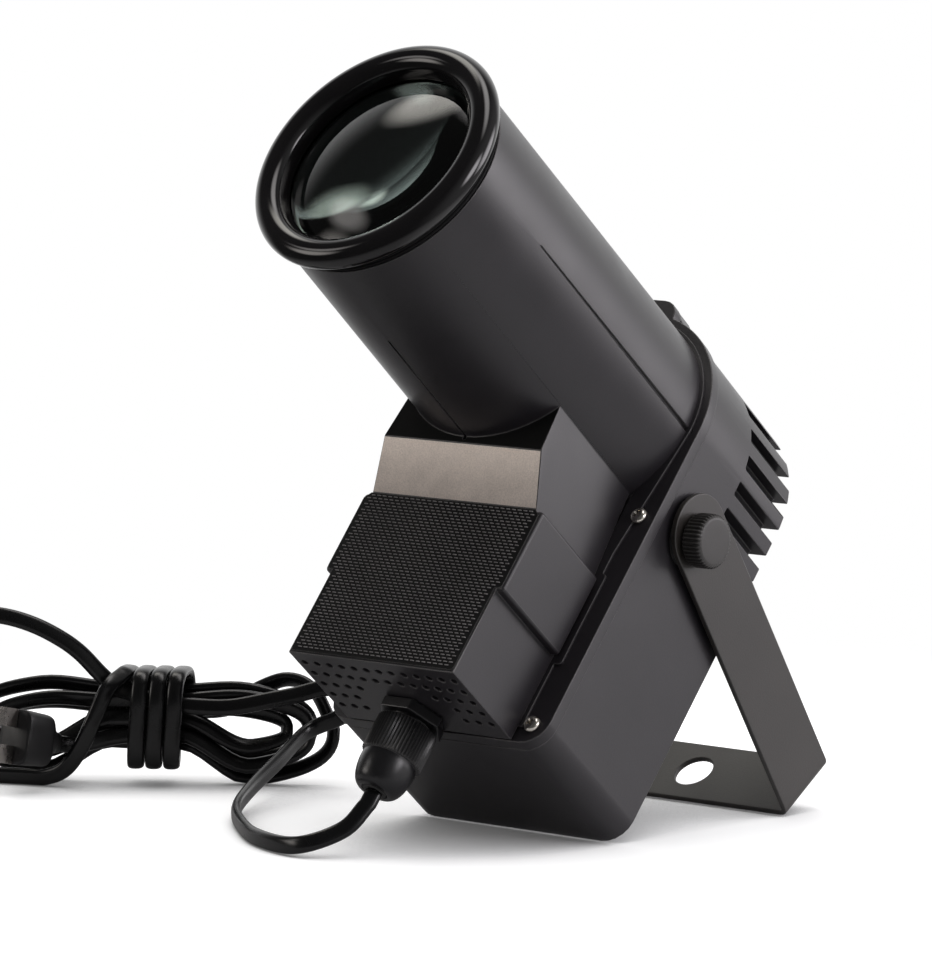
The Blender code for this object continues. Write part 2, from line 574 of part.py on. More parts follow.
def pivot_hardware(lamp, pivot):
    """Rubber washers and brass inserts on the lamp, and the two thumb knobs on the tilt axis."""
    centre = (0.0, PIVOT[0], PIVOT[1])
    face = YOKE_OUTER_HALF
    arm_inner = face - YOKE_PLATE
    for name, side in (("right", 1), ("left", -1)):
        washer = [(STUD_RADIUS + 0.0005, REAR_HALF_WIDTH + JOIN_GAP), (WASHER_RADIUS, REAR_HALF_WIDTH + JOIN_GAP)]
        washer += [(WASHER_RADIUS, arm_inner - JOIN_GAP), (STUD_RADIUS + 0.0005, arm_inner - JOIN_GAP)]
        add_object("yoke_washer_" + name, turned(mirrored(washer, side), 40, "X", centre), lamp, "rubber")
        depth = REAR_HALF_WIDTH - 0.0005
        insert = [(STUD_RADIUS + 0.0002, depth), (INSERT_RADIUS, depth), (INSERT_RADIUS, PIVOT_BOSS_INNER - JOIN_GAP)]
        insert += [(INSERT_HEAD_RADIUS, PIVOT_BOSS_INNER - JOIN_GAP), (INSERT_HEAD_RADIUS, PIVOT_BOSS_INNER - 0.0015)]
        insert += [(STUD_RADIUS + 0.0002, PIVOT_BOSS_INNER - 0.0015)]
        add_object("threaded_insert_" + name, turned(mirrored(insert, side), 24, "X", centre), lamp, "brass")
        stud = [(0.0, 0.0360), (STUD_RADIUS, 0.0365), (STUD_RADIUS, face + 0.0050), (0.0, face + 0.0050)]
        add_object("knob_stud_" + name, turned(mirrored(stud, side), 16, "X"), pivot, "chrome")
        add_object("thumb_knob_" + name, knob_head(side), pivot, "gloss_plastic")


def mirrored(profile, side):
    return [(radius, side * distance) for radius, distance in profile]


def knob_head(side):
    """A knurled cup over the stud's end."""
    base = YOKE_OUTER_HALF + JOIN_GAP
    top = base + KNOB_LENGTH
    bore = STUD_RADIUS + JOIN_GAP
    levels = [
        (bore, bore, YOKE_OUTER_HALF + 0.0053),
        (bore, bore, base),
        (KNOB_FACE_RADIUS, KNOB_FACE_RADIUS, base),
        (KNOB_RADIUS, KNOB_RADIUS - 0.0006, base + 0.0008),
        (KNOB_RADIUS, KNOB_RADIUS - 0.0006, top - 0.0011),
        (KNOB_FACE_RADIUS, KNOB_FACE_RADIUS, top),
    ]
    bm = bmesh.new()
    sides = 2 * KNOB_TEETH
    rings = []
    for tooth, valley, distance in levels:
        ring = []
        for i in range(sides):
            radius = tooth if i % 2 == 0 else valley
            angle = TAU * i / sides
            point = (side * distance, radius * math.cos(angle), radius * math.sin(angle))
            ring.append(bm.verts.new(point))
        rings.append(ring)
    for lower, upper in zip(rings, rings[1:]):
        for i in range(sides):
            j = (i + 1) % sides
            bm.faces.new((lower[i], lower[j], upper[j], upper[i]))
    bm.faces.new(rings[0])
    bm.faces.new(rings[-1])
    return bm


def gland(lamp):
    """Nylon cable gland: body, locknut inside the box, ribbed dome nut and rubber seal."""
    centre = (0.0, GLAND_Y, 0.0)
    floor = -HOUSING_DROP
    thread = GLAND_THREAD_RADIUS
    hexagon = cylinder(GLAND_HEX_RADIUS, GLAND_HEX_BOTTOM, floor - JOIN_GAP, 6, "Z", centre)
    body = add_object("gland_body", hexagon, lamp, "gloss_plastic")
    shank = cylinder(thread, GLAND_THREAD_BOTTOM, floor + 0.0095, 24, "Z", centre)
    boolean(body, "UNION", add_object("gland_shank_form", shank, lamp))
    bore = cylinder(GLAND_BORE_RADIUS, GLAND_THREAD_BOTTOM - 0.002, floor + 0.012, 20, "Z", centre)
    boolean(body, "DIFFERENCE", add_object("gland_bore_cutter", bore, lamp))
    inside = floor + WALL + JOIN_GAP
    nut = cylinder(0.0112, inside, inside + 0.0040, 6, "Z", centre)
    locknut = add_object("gland_locknut", nut, lamp, "gloss_plastic")
    bore = cylinder(thread + JOIN_GAP, inside - 0.002, inside + 0.006, 24, "Z", centre)
    boolean(locknut, "DIFFERENCE", add_object("locknut_bore_cutter", bore, lamp))
    dome = []
    rise = GLAND_RIBS_BOTTOM - GLAND_DOME_BOTTOM
    for k in range(6):
        angle = math.radians(15.0 * k)
        radius = GLAND_MOUTH_RADIUS + (0.0094 - GLAND_MOUTH_RADIUS) * math.cos(angle)
        dome.append((radius, GLAND_RIBS_BOTTOM - rise * math.sin(angle)))
    cap = thread + JOIN_GAP
    profile = [(cap, GLAND_NUT_TOP), (GLAND_NUT_RADIUS, GLAND_NUT_TOP), (GLAND_NUT_RADIUS, GLAND_RIBS_BOTTOM)]
    profile += dome
    profile += [(GLAND_MOUTH_RADIUS, GLAND_DOME_BOTTOM), (GLAND_MOUTH_RADIUS, GLAND_DOME_BOTTOM + 0.0030)]
    profile += [(cap, GLAND_RIBS_BOTTOM + 0.0005)]
    add_object("gland_nut", turned(profile, 36, "Z", centre), lamp, "gloss_plastic")
    inner = CORD_RADIUS + JOIN_GAP
    seal = [
        (inner, GLAND_DOME_BOTTOM), (GLAND_MOUTH_RADIUS - JOIN_GAP, GLAND_DOME_BOTTOM),
        (GLAND_MOUTH_RADIUS - JOIN_GAP, GLAND_THREAD_BOTTOM + 0.0100), (inner, GLAND_THREAD_BOTTOM + 0.0100),
    ]
    add_object("gland_seal", turned(seal, 20, "Z", centre), lamp, "rubber")


def optics(lamp):
    """Heat sink, light engine and collimator on the barrel's axis."""
    base = cylinder(HEATSINK_RADIUS, HEATSINK_FRONT, HEATSINK_BASE_BACK, 40, "Y")
    sink = add_object("heat_sink", base, lamp, "aluminium")
    for k in range(-3, 4):
        x = 0.0060 * k
        reach = math.sqrt(0.0300 ** 2 - x ** 2)
        fin = box((x - 0.0010, HEATSINK_BASE_BACK - 0.001, -reach), (x + 0.0010, HEATSINK_BACK, reach))
        boolean(sink, "UNION", add_object("sink_fin_form_%d" % (k + 4), fin, lamp))
    for name, side in (("right", 1), ("left", -1)):
        hole = cylinder(0.0017, 0.020, 0.040, 10, "Y", (side * 0.0270, 0.0, 0.0))
        boolean(sink, "DIFFERENCE", add_object("sink_hole_cutter_" + name, hole, lamp))
        top = HEATSINK_FRONT - JOIN_GAP
        profile = [(0.0, top - 0.0018), (0.0022, top - 0.0014), (0.0026, top), (0.0010, top), (0.0010, 0.0440), (0.0, 0.0445)]
        add_object("heat_sink_screw_" + name, turned(profile, 12, "Y", (side * 0.0270, 0.0, 0.0)), lamp, "chrome")
    pad_front = HEATSINK_FRONT - JOIN_GAP - 0.0006
    pad = cylinder(0.0140, pad_front, HEATSINK_FRONT - JOIN_GAP, 32, "Y")
    add_object("thermal_pad", pad, lamp, "white_ceramic")
    board_back = pad_front - JOIN_GAP
    board = cylinder(0.0150, board_back - 0.0016, board_back, 36, "Y")
    add_object("led_board", board, lamp, "white_ceramic")
    base_back = board_back - 0.0016 - JOIN_GAP
    emitter = turned([(0.0, base_back - 0.0028), (0.0020, base_back - 0.0023), (0.0032, base_back - 0.0010),
                      (0.0042, base_back - 0.0009), (0.0042, base_back), (0.0, base_back)], 20, "Y")
    add_object("led_emitter", emitter, lamp, "phosphor")
    front = base_back - 0.0250
    lens = turned([(0.0, base_back - 0.0060), (0.0030, base_back - 0.0056), (0.0048, base_back - 0.0020),
                   (0.0060, base_back - 0.0012), (0.0125, base_back - 0.0110), (0.0180, front + 0.0020),
                   (0.0180, front), (0.0, front)], 36, "Y")
    add_object("collimator_lens", lens, lamp, "glass")
    holder = turned([(0.0184, front - 0.0004), (0.0210, front - 0.0004), (0.0210, base_back),
                     (0.0160, base_back), (0.0160, base_back - 0.0015), (0.0194, base_back - 0.0015),
                     (0.0194, front + 0.0030), (0.0184, front + 0.0030)], 36, "Y")
    add_object("collimator_holder", holder, lamp, "gloss_plastic")


def driver(lamp):
    """Mains driver board in the lower half, its parts and the wires."""
    board = box((-0.0350, BOARD_FRONT, -0.1160), (0.0350, BOARD_FRONT + BOARD_THICKNESS, -0.0560))
    plate = add_object("driver_board", board, lamp, "board_green")
    for name, x, z in (("1", 0.030, -0.062), ("2", -0.030, -0.062), ("3", 0.030, -0.110), ("4", -0.030, -0.110)):
        hole = cylinder(0.0017, 0.040, 0.050, 10, "Y", (x, 0.0, z))
        boolean(plate, "DIFFERENCE", add_object("board_hole_cutter_" + name, hole, lamp))
        top = BOARD_FRONT - JOIN_GAP
        profile = [(0.0, top - 0.0018), (0.0022, top - 0.0014), (0.0026, top), (0.0009, top), (0.0009, 0.0520), (0.0, 0.0525)]
        add_object("board_screw_" + name, turned(profile, 12, "Y", (x, 0.0, z)), lamp, "chrome")
    top = BOARD_FRONT - JOIN_GAP
    core = box((-0.0110, top - 0.0180, -0.0900), (0.0130, top, -0.0690))
    add_object("transformer", core, lamp, "transformer_yellow")
    terminal = box((-0.0100, top - 0.0110, -0.1130), (0.0100, top, -0.1030))
    add_object("terminal_block", terminal, lamp, "terminal_green")
    for name, radius, length, x, z in (
        ("input_capacitor", 0.0055, 0.0180, -0.0225, -0.0950),
        ("output_capacitor", 0.0045, 0.0140, 0.0240, -0.0800),
    ):
        can = turned([(0.0, top - length), (radius - 0.0006, top - length), (radius, top - length + 0.0006),
                      (radius, top), (0.0, top)], 20, "Y", (x, 0.0, z))
        add_object(name, can, lamp, "cord_jacket")


def tube(name, points, radius, parent, material_name, resolution=2):
    """A round cord along points, with filled ends."""
    data = bpy.data.curves.new(name, "CURVE")
    data.dimensions = "3D"
    data.bevel_depth = radius
    data.bevel_resolution = resolution
    data.resolution_u = 1
    data.render_resolution_u = 0
    data.use_fill_caps = True
    spline = data.splines.new("POLY")
    spline.points.add(len(points) - 1)
    for point, place in zip(spline.points, points):
        point.co = (place[0], place[1], place[2], 1.0)
    made = bpy.data.objects.new(name, data)
    made.parent = parent
    data.materials.append(material(material_name))
    bpy.context.scene.collection.objects.link(made)
    return made


def smooth_route(route, count):
    """Points at even steps along a Catmull-Rom curve through the route."""
    ends = [2 * Vector(route[0]) - Vector(route[1])]
    ends += [Vector(p) for p in route]
    ends += [2 * Vector(route[-1]) - Vector(route[-2])]
    fine = []
    for k in range(1, len(ends) - 2):
        p0, p1, p2, p3 = ends[k - 1:k + 3]
        for s in range(40):
            t = s / 40
            fine.append(0.5 * (2 * p1 + (p2 - p0) * t + (2 * p0 - 5 * p1 + 4 * p2 - p3) * t * t
                               + (3 * p1 - p0 - 3 * p2 + p3) * t ** 3))
    fine.append(ends[-2])
    lengths = [0.0]
    for a, b in zip(fine, fine[1:]):
        lengths.append(lengths[-1] + (b - a).length)
    points = []
    k = 0
    for i in range(count):
        goal = lengths[-1] * i / (count - 1)
        while k < len(fine) - 2 and lengths[k + 1] < goal:
            k += 1
        part = (goal - lengths[k]) / max(lengths[k + 1] - lengths[k], 1e-9)
        points.append(fine[k].lerp(fine[k + 1], min(part, 1.0)))
    return points


def smoothstep(value):
    value = min(max(value, 0.0), 1.0)
    return value * value * (3.0 - 2.0 * value)


def hank_place(point):
    """From the hank's own frame to the part's."""
    return HANK_CENTRE + HANK_LENGTHWAYS * point[0] + HANK_ACROSS * point[1] + Vector((0.0, 0.0, point[2]))


def hank_loop(turn):
    """Nested flat loops that spiral in, change layer and spiral out, drawn in at the waist."""
    level = min(turn, HANK_TURNS - turn)
    angle = TAU * turn
    along = (HANK_HALF_LENGTH - HANK_LENGTH_STEP * level) * math.cos(angle)
    spread = smoothstep((abs(along) - 0.012) / 0.026)
    waist = HANK_WAIST_HEIGHT - HANK_WAIST_STEP * level
    end = HANK_END_HEIGHT - HANK_END_STEP * level
    height = waist * (1.0 - spread) + end * spread
    up = -math.copysign(abs(math.sin(angle)) ** 0.7, math.sin(angle)) * height
    layer = smoothstep((turn - HANK_TURNS / 2 + HANK_CLIMB) / (2 * HANK_CLIMB))
    return Vector((HANK_MIDDLE + along, HANK_LAYER_STEP * (layer - 0.5), up + HANK_RISE * (1.0 - spread)))


def hank_wrap(turn):
    """The wraps round the waist: a helix on a rounded rectangle."""
    angle = TAU * turn
    across = math.cos(angle)
    up = math.sin(angle)
    size = (abs(across) ** WRAP_SQUARENESS + abs(up) ** WRAP_SQUARENESS) ** (-1.0 / WRAP_SQUARENESS)
    return Vector((
        WRAP_START + WRAP_PITCH * turn,
        WRAP_MIDDLE[0] + WRAP_HALF[0] * size * across,
        WRAP_MIDDLE[1] + WRAP_HALF[1] * size * up,
    ))


def hank_points():
    """The whole wound cord: the stray loop, the wraps, the nested loops and the run to the plug."""
    start = HANK_START + HANK_START_RUN * JOIN_GAP / 2
    straight = HANK_START + HANK_START_RUN * 2 * CORD_RADIUS
    wrap_count = round((WRAP_LAST_TURN - WRAP_FIRST_TURN) * 16)
    wraps = [hank_wrap(WRAP_FIRST_TURN + i / 16) for i in range(wrap_count + 1)]
    loops = [hank_loop(i / HANK_POINTS) for i in range(int(HANK_POINTS * HANK_LAST_TURN) + 1)]
    rear = Vector(PLUG_REAR)
    square = rear - plug_axes()[0] * 2 * CORD_RADIUS
    points = [start] + smooth_route([straight] + STRAY_LOOP + [wraps[0]], 42)[:-1]
    points += wraps
    points += smooth_route([wraps[-1]] + WRAP_LINK + [loops[0]], 9)[1:-1]
    points += loops
    points += smooth_route([loops[-1]] + PLUG_RUN + [square], 8)[1:]
    points += [rear]
    return points


def least_gap(points, radius):
    """Clearance of a tube to itself, past the stretch that is simply its own neighbour."""
    fine = []
    travelled = 0.0
    for a, b in zip(points, points[1:]):
        for s in range(4):
            fine.append((travelled + (b - a).length * s / 4, a.lerp(b, s / 4)))
        travelled += (b - a).length
    least = 1.0
    for i, (reach, point) in enumerate(fine):
        for other_reach, other in fine[i + 1:]:
            if other_reach - reach > 4 * radius:
                least = min(least, (other - point).length - 2 * radius)
    return least, travelled


def cord(lamp):
    """The free lead, the wound hank and the plug."""
    mouth = GLAND_DOME_BOTTOM - JOIN_GAP
    turn = Matrix.Rotation(-BEAM_TILT, 3, "X")
    ends = []
    for drop in (0.0, 2 * CORD_RADIUS):
        ends.append(lamp.location + turn @ Vector((0.0, GLAND_Y, mouth - drop)))
    turn_points = [hank_place(point) for point in LEAD_TURN]
    last = hank_place(HANK_START - HANK_START_RUN * JOIN_GAP / 2)
    square = hank_place(HANK_START - HANK_START_RUN * 2 * CORD_RADIUS)
    floor_points = [Vector(point) + Vector((0.0, FOOTPRINT_SHIFT, 0.0)) for point in LEAD_ROUTE]
    route = [ends[1]] + floor_points + turn_points + [square]
    lead = [ends[0]] + smooth_route(route, 36) + [last]
    tube("cord_lead", lead, CORD_RADIUS, None, "cord_jacket")
    hank = hank_points()
    gap, length = least_gap(hank, CORD_RADIUS)
    lead_length = sum((b - a).length for a, b in zip(lead, lead[1:]))
    print("hank: least gap to itself %.2f mm, length %.3f m, lead %.3f m" % (gap * 1000, length, lead_length))
    tube("cord_hank", [hank_place(point) for point in hank], CORD_RADIUS, None, "cord_jacket", 1)
    plug()


def plug_axes():
    """The plug's own directions in the hank's frame: along it to its blades, to its side, and up."""
    level = math.cos(PLUG_RISE)
    along = Vector((-math.cos(PLUG_TURN) * level, math.sin(PLUG_TURN) * level, math.sin(PLUG_RISE)))
    side = Vector((math.sin(PLUG_TURN), math.cos(PLUG_TURN), 0.0))
    return along, side, side.cross(along)


def plug_place(point):
    """From the plug's own frame to the part's."""
    along, side, up = plug_axes()
    return hank_place(Vector(PLUG_REAR) + along * point[0] + side * point[1] + up * point[2])


def plug():
    """A moulded two-blade plug on the hank's free end, propped on the loose strand below it."""
    sections = [
        (0.0, 0.0040, 0.0040), (0.0060, 0.0048, 0.0052), (0.0095, 0.0061, 0.0088), (PLUG_LENGTH - 0.0015, 0.0064, 0.0095),
        (PLUG_LENGTH, 0.0056, 0.0087),
    ]
    bm = bmesh.new()
    rings = []
    for along, half_thickness, half_height in sections:
        ring = []
        for i in range(16):
            angle = TAU * i / 16
            side = math.copysign(abs(math.cos(angle)) ** 0.6, math.cos(angle)) * half_thickness
            up = math.copysign(abs(math.sin(angle)) ** 0.6, math.sin(angle)) * half_height
            ring.append(bm.verts.new(plug_place((JOIN_GAP + along, side, up))))
        rings.append(ring)
    for lower, upper in zip(rings, rings[1:]):
        for i in range(16):
            j = (i + 1) % 16
            bm.faces.new((lower[i], lower[j], upper[j], upper[i]))
    bm.faces.new(rings[0])
    bm.faces.new(rings[-1])
    add_object("plug_body", bm, None, "rubber")
    root = 2 * JOIN_GAP + PLUG_LENGTH
    tip = root + BLADE_LENGTH
    for name, turn in (("upper", 1), ("lower", -1)):
        middle = turn * BLADE_SPACING / 2
        half = BLADE_WIDTH / 2
        outline = [
            (root, middle - half), (tip - 0.002, middle - half), (tip, middle - half + 0.0015),
            (tip, middle + half - 0.0015), (tip - 0.002, middle + half), (root, middle + half),
        ]
        blade = prism(outline, -BLADE_THICKNESS / 2, BLADE_THICKNESS / 2, "Y")
        for vert in blade.verts:
            vert.co = plug_place(vert.co.copy())
        add_object("plug_blade_" + name, blade, None, "brass")


def wires(lamp):
    """Inner leads: cord tail to the terminal block, and the pair up to the light engine."""
    top = BOARD_FRONT - JOIN_GAP
    tail = [(0.0, GLAND_Y, GLAND_DOME_BOTTOM), (0.0, GLAND_Y, -0.1300), (0.0, GLAND_Y + 0.0002, -0.1140)]
    tail += [(0.0, -0.0060, -0.1070), (0.0, 0.0060, -0.1040), (0.0, 0.0200, -0.1070)]
    tail += [(0.0, top - 0.0110 - JOIN_GAP, -0.1080)]
    tube("cord_tail", smooth_route(tail, 18), CORD_RADIUS, lamp, "cord_jacket")
    for name, side, colour in (("red", 1, "copper_wire_red"), ("black", -1, "copper_wire_black")):
        x = side * 0.0040
        run = [(x, top, -0.0620), (x, 0.0380, -0.0600), (side * 0.0100, 0.0270, -0.0520)]
        run += [(side * 0.0120, 0.0230, -0.0400), (side * 0.0080, 0.0205, -0.0300), (side * 0.0050, 0.0230, -0.0240)]
        run += [(side * 0.0042, 0.0260, -0.0240 + 0.0120)]
        tube("led_wire_" + name, smooth_route(run[:6], 14), 0.0008, lamp, colour)


def main():
    clear_scene()
    sine = math.sin(BEAM_TILT)
    cosine = math.cos(BEAM_TILT)
    origin_y = -REAR_DEPTH * cosine + HOUSING_DROP * sine + FOOTPRINT_SHIFT
    origin_z = REAR_DEPTH * sine + HOUSING_DROP * cosine
    lamp = frame_empty("lamp_frame", (0.0, origin_y, origin_z), -BEAM_TILT)
    pivot_y = origin_y + PIVOT[0] * cosine + PIVOT[1] * sine
    pivot_z = origin_z - PIVOT[0] * sine + PIVOT[1] * cosine
    front = YOKE_HALF_DEPTH - YOKE_OFFSET
    lean = math.acos(pivot_z / math.hypot(YOKE_REACH, front)) + math.atan2(front, YOKE_REACH)
    pivot = frame_empty("yoke_frame", (0.0, pivot_y, pivot_z), lean)
    print("pivot at y %.5f z %.5f, yoke leans %.2f degrees" % (pivot_y, pivot_z, math.degrees(lean)))
    front_housing(lamp)
    rear_housing(lamp)
    mouth_rings(lamp)
    flange_screws(lamp)
    yoke(pivot)
    pivot_hardware(lamp, pivot)
    gland(lamp)
    optics(lamp)
    driver(lamp)
    wires(lamp)
    cord(lamp)


main()
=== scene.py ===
"""Dressed pinspot light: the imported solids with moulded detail, real surfaces and a flat mains cord.

Units are metres. The lamp's own frame has x across, y from the lens to the back and z up the back.
Its y = 0 is the front face of the flange, so a place u ahead of the flange has y = -u.
"""

import math

import bmesh
import bpy
from mathutils import Matrix, Vector


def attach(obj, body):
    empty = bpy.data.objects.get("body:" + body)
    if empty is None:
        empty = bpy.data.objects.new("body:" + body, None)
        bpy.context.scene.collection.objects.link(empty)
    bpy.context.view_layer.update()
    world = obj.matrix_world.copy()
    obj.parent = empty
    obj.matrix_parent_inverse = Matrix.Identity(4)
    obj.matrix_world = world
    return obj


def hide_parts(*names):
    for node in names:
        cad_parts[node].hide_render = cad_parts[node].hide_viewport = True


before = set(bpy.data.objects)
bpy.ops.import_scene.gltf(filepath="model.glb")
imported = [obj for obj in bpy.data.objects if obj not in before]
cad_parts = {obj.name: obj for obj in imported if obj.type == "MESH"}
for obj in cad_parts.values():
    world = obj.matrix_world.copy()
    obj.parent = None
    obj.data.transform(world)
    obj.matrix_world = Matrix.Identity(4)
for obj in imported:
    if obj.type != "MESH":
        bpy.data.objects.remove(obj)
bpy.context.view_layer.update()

TAU = 2.0 * math.pi

# Stance, as in the part's source
BEAM_TILT = math.radians(40.0)
LAMP_ORIGIN = Vector((0.0, 0.033974, 0.132975))
LAMP = Matrix.Translation(LAMP_ORIGIN) @ Matrix.Rotation(-BEAM_TILT, 4, "X")
PIVOT = Vector((0.0, 0.03037, 0.09788))
YOKE_LEAN = math.radians(33.75)
YOKE = Matrix.Translation(PIVOT) @ Matrix.Rotation(YOKE_LEAN, 4, "X")
FOOTPRINT_SHIFT = -0.00124

# Housings
HOUSING_DROP = 0.1245
BARREL_ROOT_RADIUS = 0.0419
BARREL_TIP_RADIUS = 0.0408
BARREL_LENGTH = 0.1356
# The bore gets the near-black painted shade from this far ahead of the flange, on faces this far inside the
# barrel's skin
BORE_START = 0.004
BORE_DEPTH = 0.0006
# Edges of the driver box: how far ahead of the flange, at what height, and half the width there
BOX_SILL = (0.0397, -0.0609, 0.0350)
BOX_FOOT = (0.0392, -0.1245, 0.0351)
BOX_BROW = (0.0488, -0.0439, 0.0335)
BELT_BOTTOM = -0.0923
BELT_HALF_WIDTH = 0.0381
GLAND_Y = -0.0098

# Flat two-core cord
CORD_WIDTH = 0.0058
CORD_THICKNESS = 0.0033
# The straight bit at each end of a stretch
CORD_STUB = 0.0044
GLAND_MOUTH = -0.1553
HANK_CENTRE = Vector((-0.1500, -0.0100 + FOOTPRINT_SHIFT, 0.0195))
HANK_LENGTHWAYS = Vector((0.80, 0.60, 0.0))
HANK_ACROSS = Vector((0.60, -0.80, 0.0))
HANK_START = Vector((0.0500, 0.0086, 0.0145))
HANK_START_RUN = Vector((-0.958, 0.0, -0.287))
LEAD_ROUTE = [
    (-0.0035, -0.0830, 0.0090), (-0.0150, -0.0925, 0.0038), (-0.0380, -0.0860, 0.0030),
    (-0.0620, -0.0680, 0.0030), (-0.0790, -0.0510, 0.0038), (-0.0900, -0.0320, 0.0070),
    (-0.0970, -0.0110, 0.0130),
]
LEAD_START_WAY = Vector((0.8, 0.0, -0.6))
LEAD_TURN = [
    (0.0500, 0.0120, 0.0010), (0.0610, 0.0100, 0.0060), (0.0680, 0.0090, 0.0110),
    (0.0670, 0.0086, 0.0165),
]
STRAY_LOOP = [
    (0.0380, 0.0084, 0.0115), (0.0240, 0.0080, 0.0086), (0.0120, 0.0078, 0.0084),
    (0.0, 0.0077, 0.0096), (-0.0075, 0.0077, 0.0113), (-0.0120, 0.0065, 0.0128),
    (-0.0165, 0.0051, 0.0139), (-0.0220, 0.0060, 0.0187), (-0.0290, 0.0068, 0.0260),
    (-0.0360, 0.0070, 0.0310), (-0.0455, 0.0070, 0.0356), (-0.0560, 0.0070, 0.0384),
    (-0.0680, 0.0065, 0.0388), (-0.0840, 0.0060, 0.0340), (-0.0930, 0.0060, 0.0180),
    (-0.0910, 0.0063, -0.0020), (-0.0800, 0.0070, -0.0135), (-0.0660, 0.0080, -0.0166),
    (-0.0520, 0.0100, -0.0169), (-0.0410, 0.0126, -0.0166), (-0.0330, 0.0152, -0.0130),
    (-0.0270, 0.0172, -0.0045), (-0.0226, 0.0170, 0.0055), (-0.0184, 0.0140, 0.0150),
]
WRAP_FIRST_TURN = 0.20
WRAP_LAST_TURN = 3.50
WRAP_PITCH = 0.0062
WRAP_START = -0.0146
WRAP_MIDDLE = (0.0025, 0.0037)
WRAP_HALF = (0.0114, 0.0160)
WRAP_SQUARENESS = 3.8
WRAP_LINK = [
    (0.0210, -0.0084, 0.0060), (0.0320, -0.0082, 0.0130), (0.0420, -0.0070, 0.0165),
    (0.0510, -0.0043, 0.0130),
]
HANK_TURNS = 4
HANK_LAST_TURN = 3.25
HANK_MIDDLE = -0.0070
HANK_HALF_LENGTH = 0.0650
HANK_LENGTH_STEP = 0.0080
HANK_WAIST_HEIGHT = 0.0120
HANK_WAIST_STEP = 0.0060
HANK_END_HEIGHT = 0.0215
HANK_END_STEP = 0.0073
HANK_LAYER_STEP = 0.0056
HANK_RISE = 0.0050
HANK_CLIMB = 0.2
HANK_FULLNESS = 0.7
HANK_WAIST_HALF_LENGTH = 0.012
HANK_FLARE = 0.026
PLUG_RUN = [
    (-0.0140, 0.0029, -0.0028), (-0.0205, 0.0036, -0.0040), (-0.0265, 0.0052, -0.0054),
    (-0.0310, 0.0076, -0.0059),
]
PLUG_REAR = (-0.0362, 0.0140, -0.0044)
PLUG_TURN = math.radians(60.0)
PLUG_RISE = math.radians(12.0)
PLUG_LENGTH = 0.0240
PLUG_GAP = 0.0003
PLUG_SIDES = 40
PLUG_SQUARENESS = 0.45
# How many points each stretch of the cord has. Wraps and loops have theirs per turn.
LEAD_POINTS = 140
STRAY_POINTS = 170
WRAP_POINTS = 48
LINK_POINTS = 36
LOOP_POINTS = 96
PLUG_RUN_POINTS = 30
CURVE_STEPS = 40
CORD_SIDES = 20
CORD_SQUARENESS = (0.75, 0.80)
# How much of its last way the cord's width keeps from one point to the next
CORD_STEADINESS = 0.8
# Share of a stretch, at its start or end, in which the width turns to lie like the stretch beside it
LEAD_START_TURN = 0.3
LEAD_END_TURN = 0.15
STRAY_END_TURN = 0.07
LINK_START_TURN = 0.6
# Degrees that the cord's width leans out of the hank's upright plane: in the middle, and the change
STRAY_LEAN = (18.0, 0.0)
LINK_LEAN = (25.0, 25.0)
LOOP_LEAN = (32.0, 18.0)

# Front housing: mould grooves round the barrel, each with its turn and its two ends ahead of the flange
GROOVES = ((0.0, 0.100, -0.001), (90.0, 0.100, -0.001), (180.0, 0.100, -0.001), (270.0, 0.113, 0.046))
# Depth and half width of a groove at its thin end and at its wide end
GROOVE_THIN = (0.0003, 0.00012)
GROOVE_WIDE = (0.0018, 0.00085)
GROOVE_RIM = 0.0014
GROOVE_LIFT = 0.0004
VENT_RADIUS = 0.0013
VENT_PITCH = 0.0053
VENT_ROW_PITCH = 0.0061
VENT_FIRST_ROW = 0.0335
VENT_COLUMNS = 6
VENT_CUT_LENGTH = 0.006
VENT_CUT_LIFT = 0.0010
# How near the middle each row starts, clear of the gland
VENT_ROW_STARTS = (0.0, 0.0, 0.0155, 0.0200, 0.0200)
STEP_PROUD = 0.0009
STEP_SUNK = 0.0002
STEP_RADIUS = 0.0432
STEP_BORE_RADIUS = 0.0388
STEP_CORNER_RADIUS = 0.0014
STEP_BAY_HALF_WIDTH = 0.0330
STEP_BAY_ENDS = (-0.1250, -0.0200)
STEP_CUT = 0.002
PANEL_PROUD = 0.00030
DASH_PITCH = 0.0024
DASH_ROW_PITCH = 0.0012
DASH_HALF_LENGTH = 0.0008
DASH_HALF_WIDTH = 0.00017
DASH_RISE = 0.00035
DASH_ROOT = 0.00004
DASH_TAPER = (0.72, 0.35)
DASH_MARGIN = 0.0012
DASH_FIRST_ROW = 0.0010
BROW_INSET = 0.00035
# Where the brow's plate starts and ends down its face, and its two faces' rise
BROW_SPAN = (0.03, 0.985)
BROW_RISE = (-0.0001, 0.00008)

# Bezel, gasket and lens, distances ahead of the flange
BEZEL_APERTURE = 0.0335
BEZEL_LIP_MIDDLE = (0.0392, 0.1426)
BEZEL_LIP_HALF = (0.0050, 0.0048)
BEZEL_LIP_SWEEP = 170.0
BEZEL_LIP_STEPS = 32
BEZEL_SIDES = 160
BEZEL_BACK = 0.1402
SPIGOT_RADIUS = 0.0379
SPIGOT_BORE_RADIUS = 0.0368
SPIGOT_BACK = 0.1250
LENS_RADIUS = 0.0364
LENS_EDGE_FRONT = 0.1403
LENS_EDGE_BACK = 0.1363
LENS_DOME_RADIUS = 0.0330
LENS_CURVE_RADIUS = 0.0750
LENS_CHAMFER = 0.0003
LENS_DOME_STEPS = 28
LENS_SIDES = 128
GASKET_RADIUS = 0.0404
GASKET_RIBS = 3
GASKET_RIB_HEIGHT = 0.0004
GASKET_GAP = 0.0003
GASKET_SIDES = 128

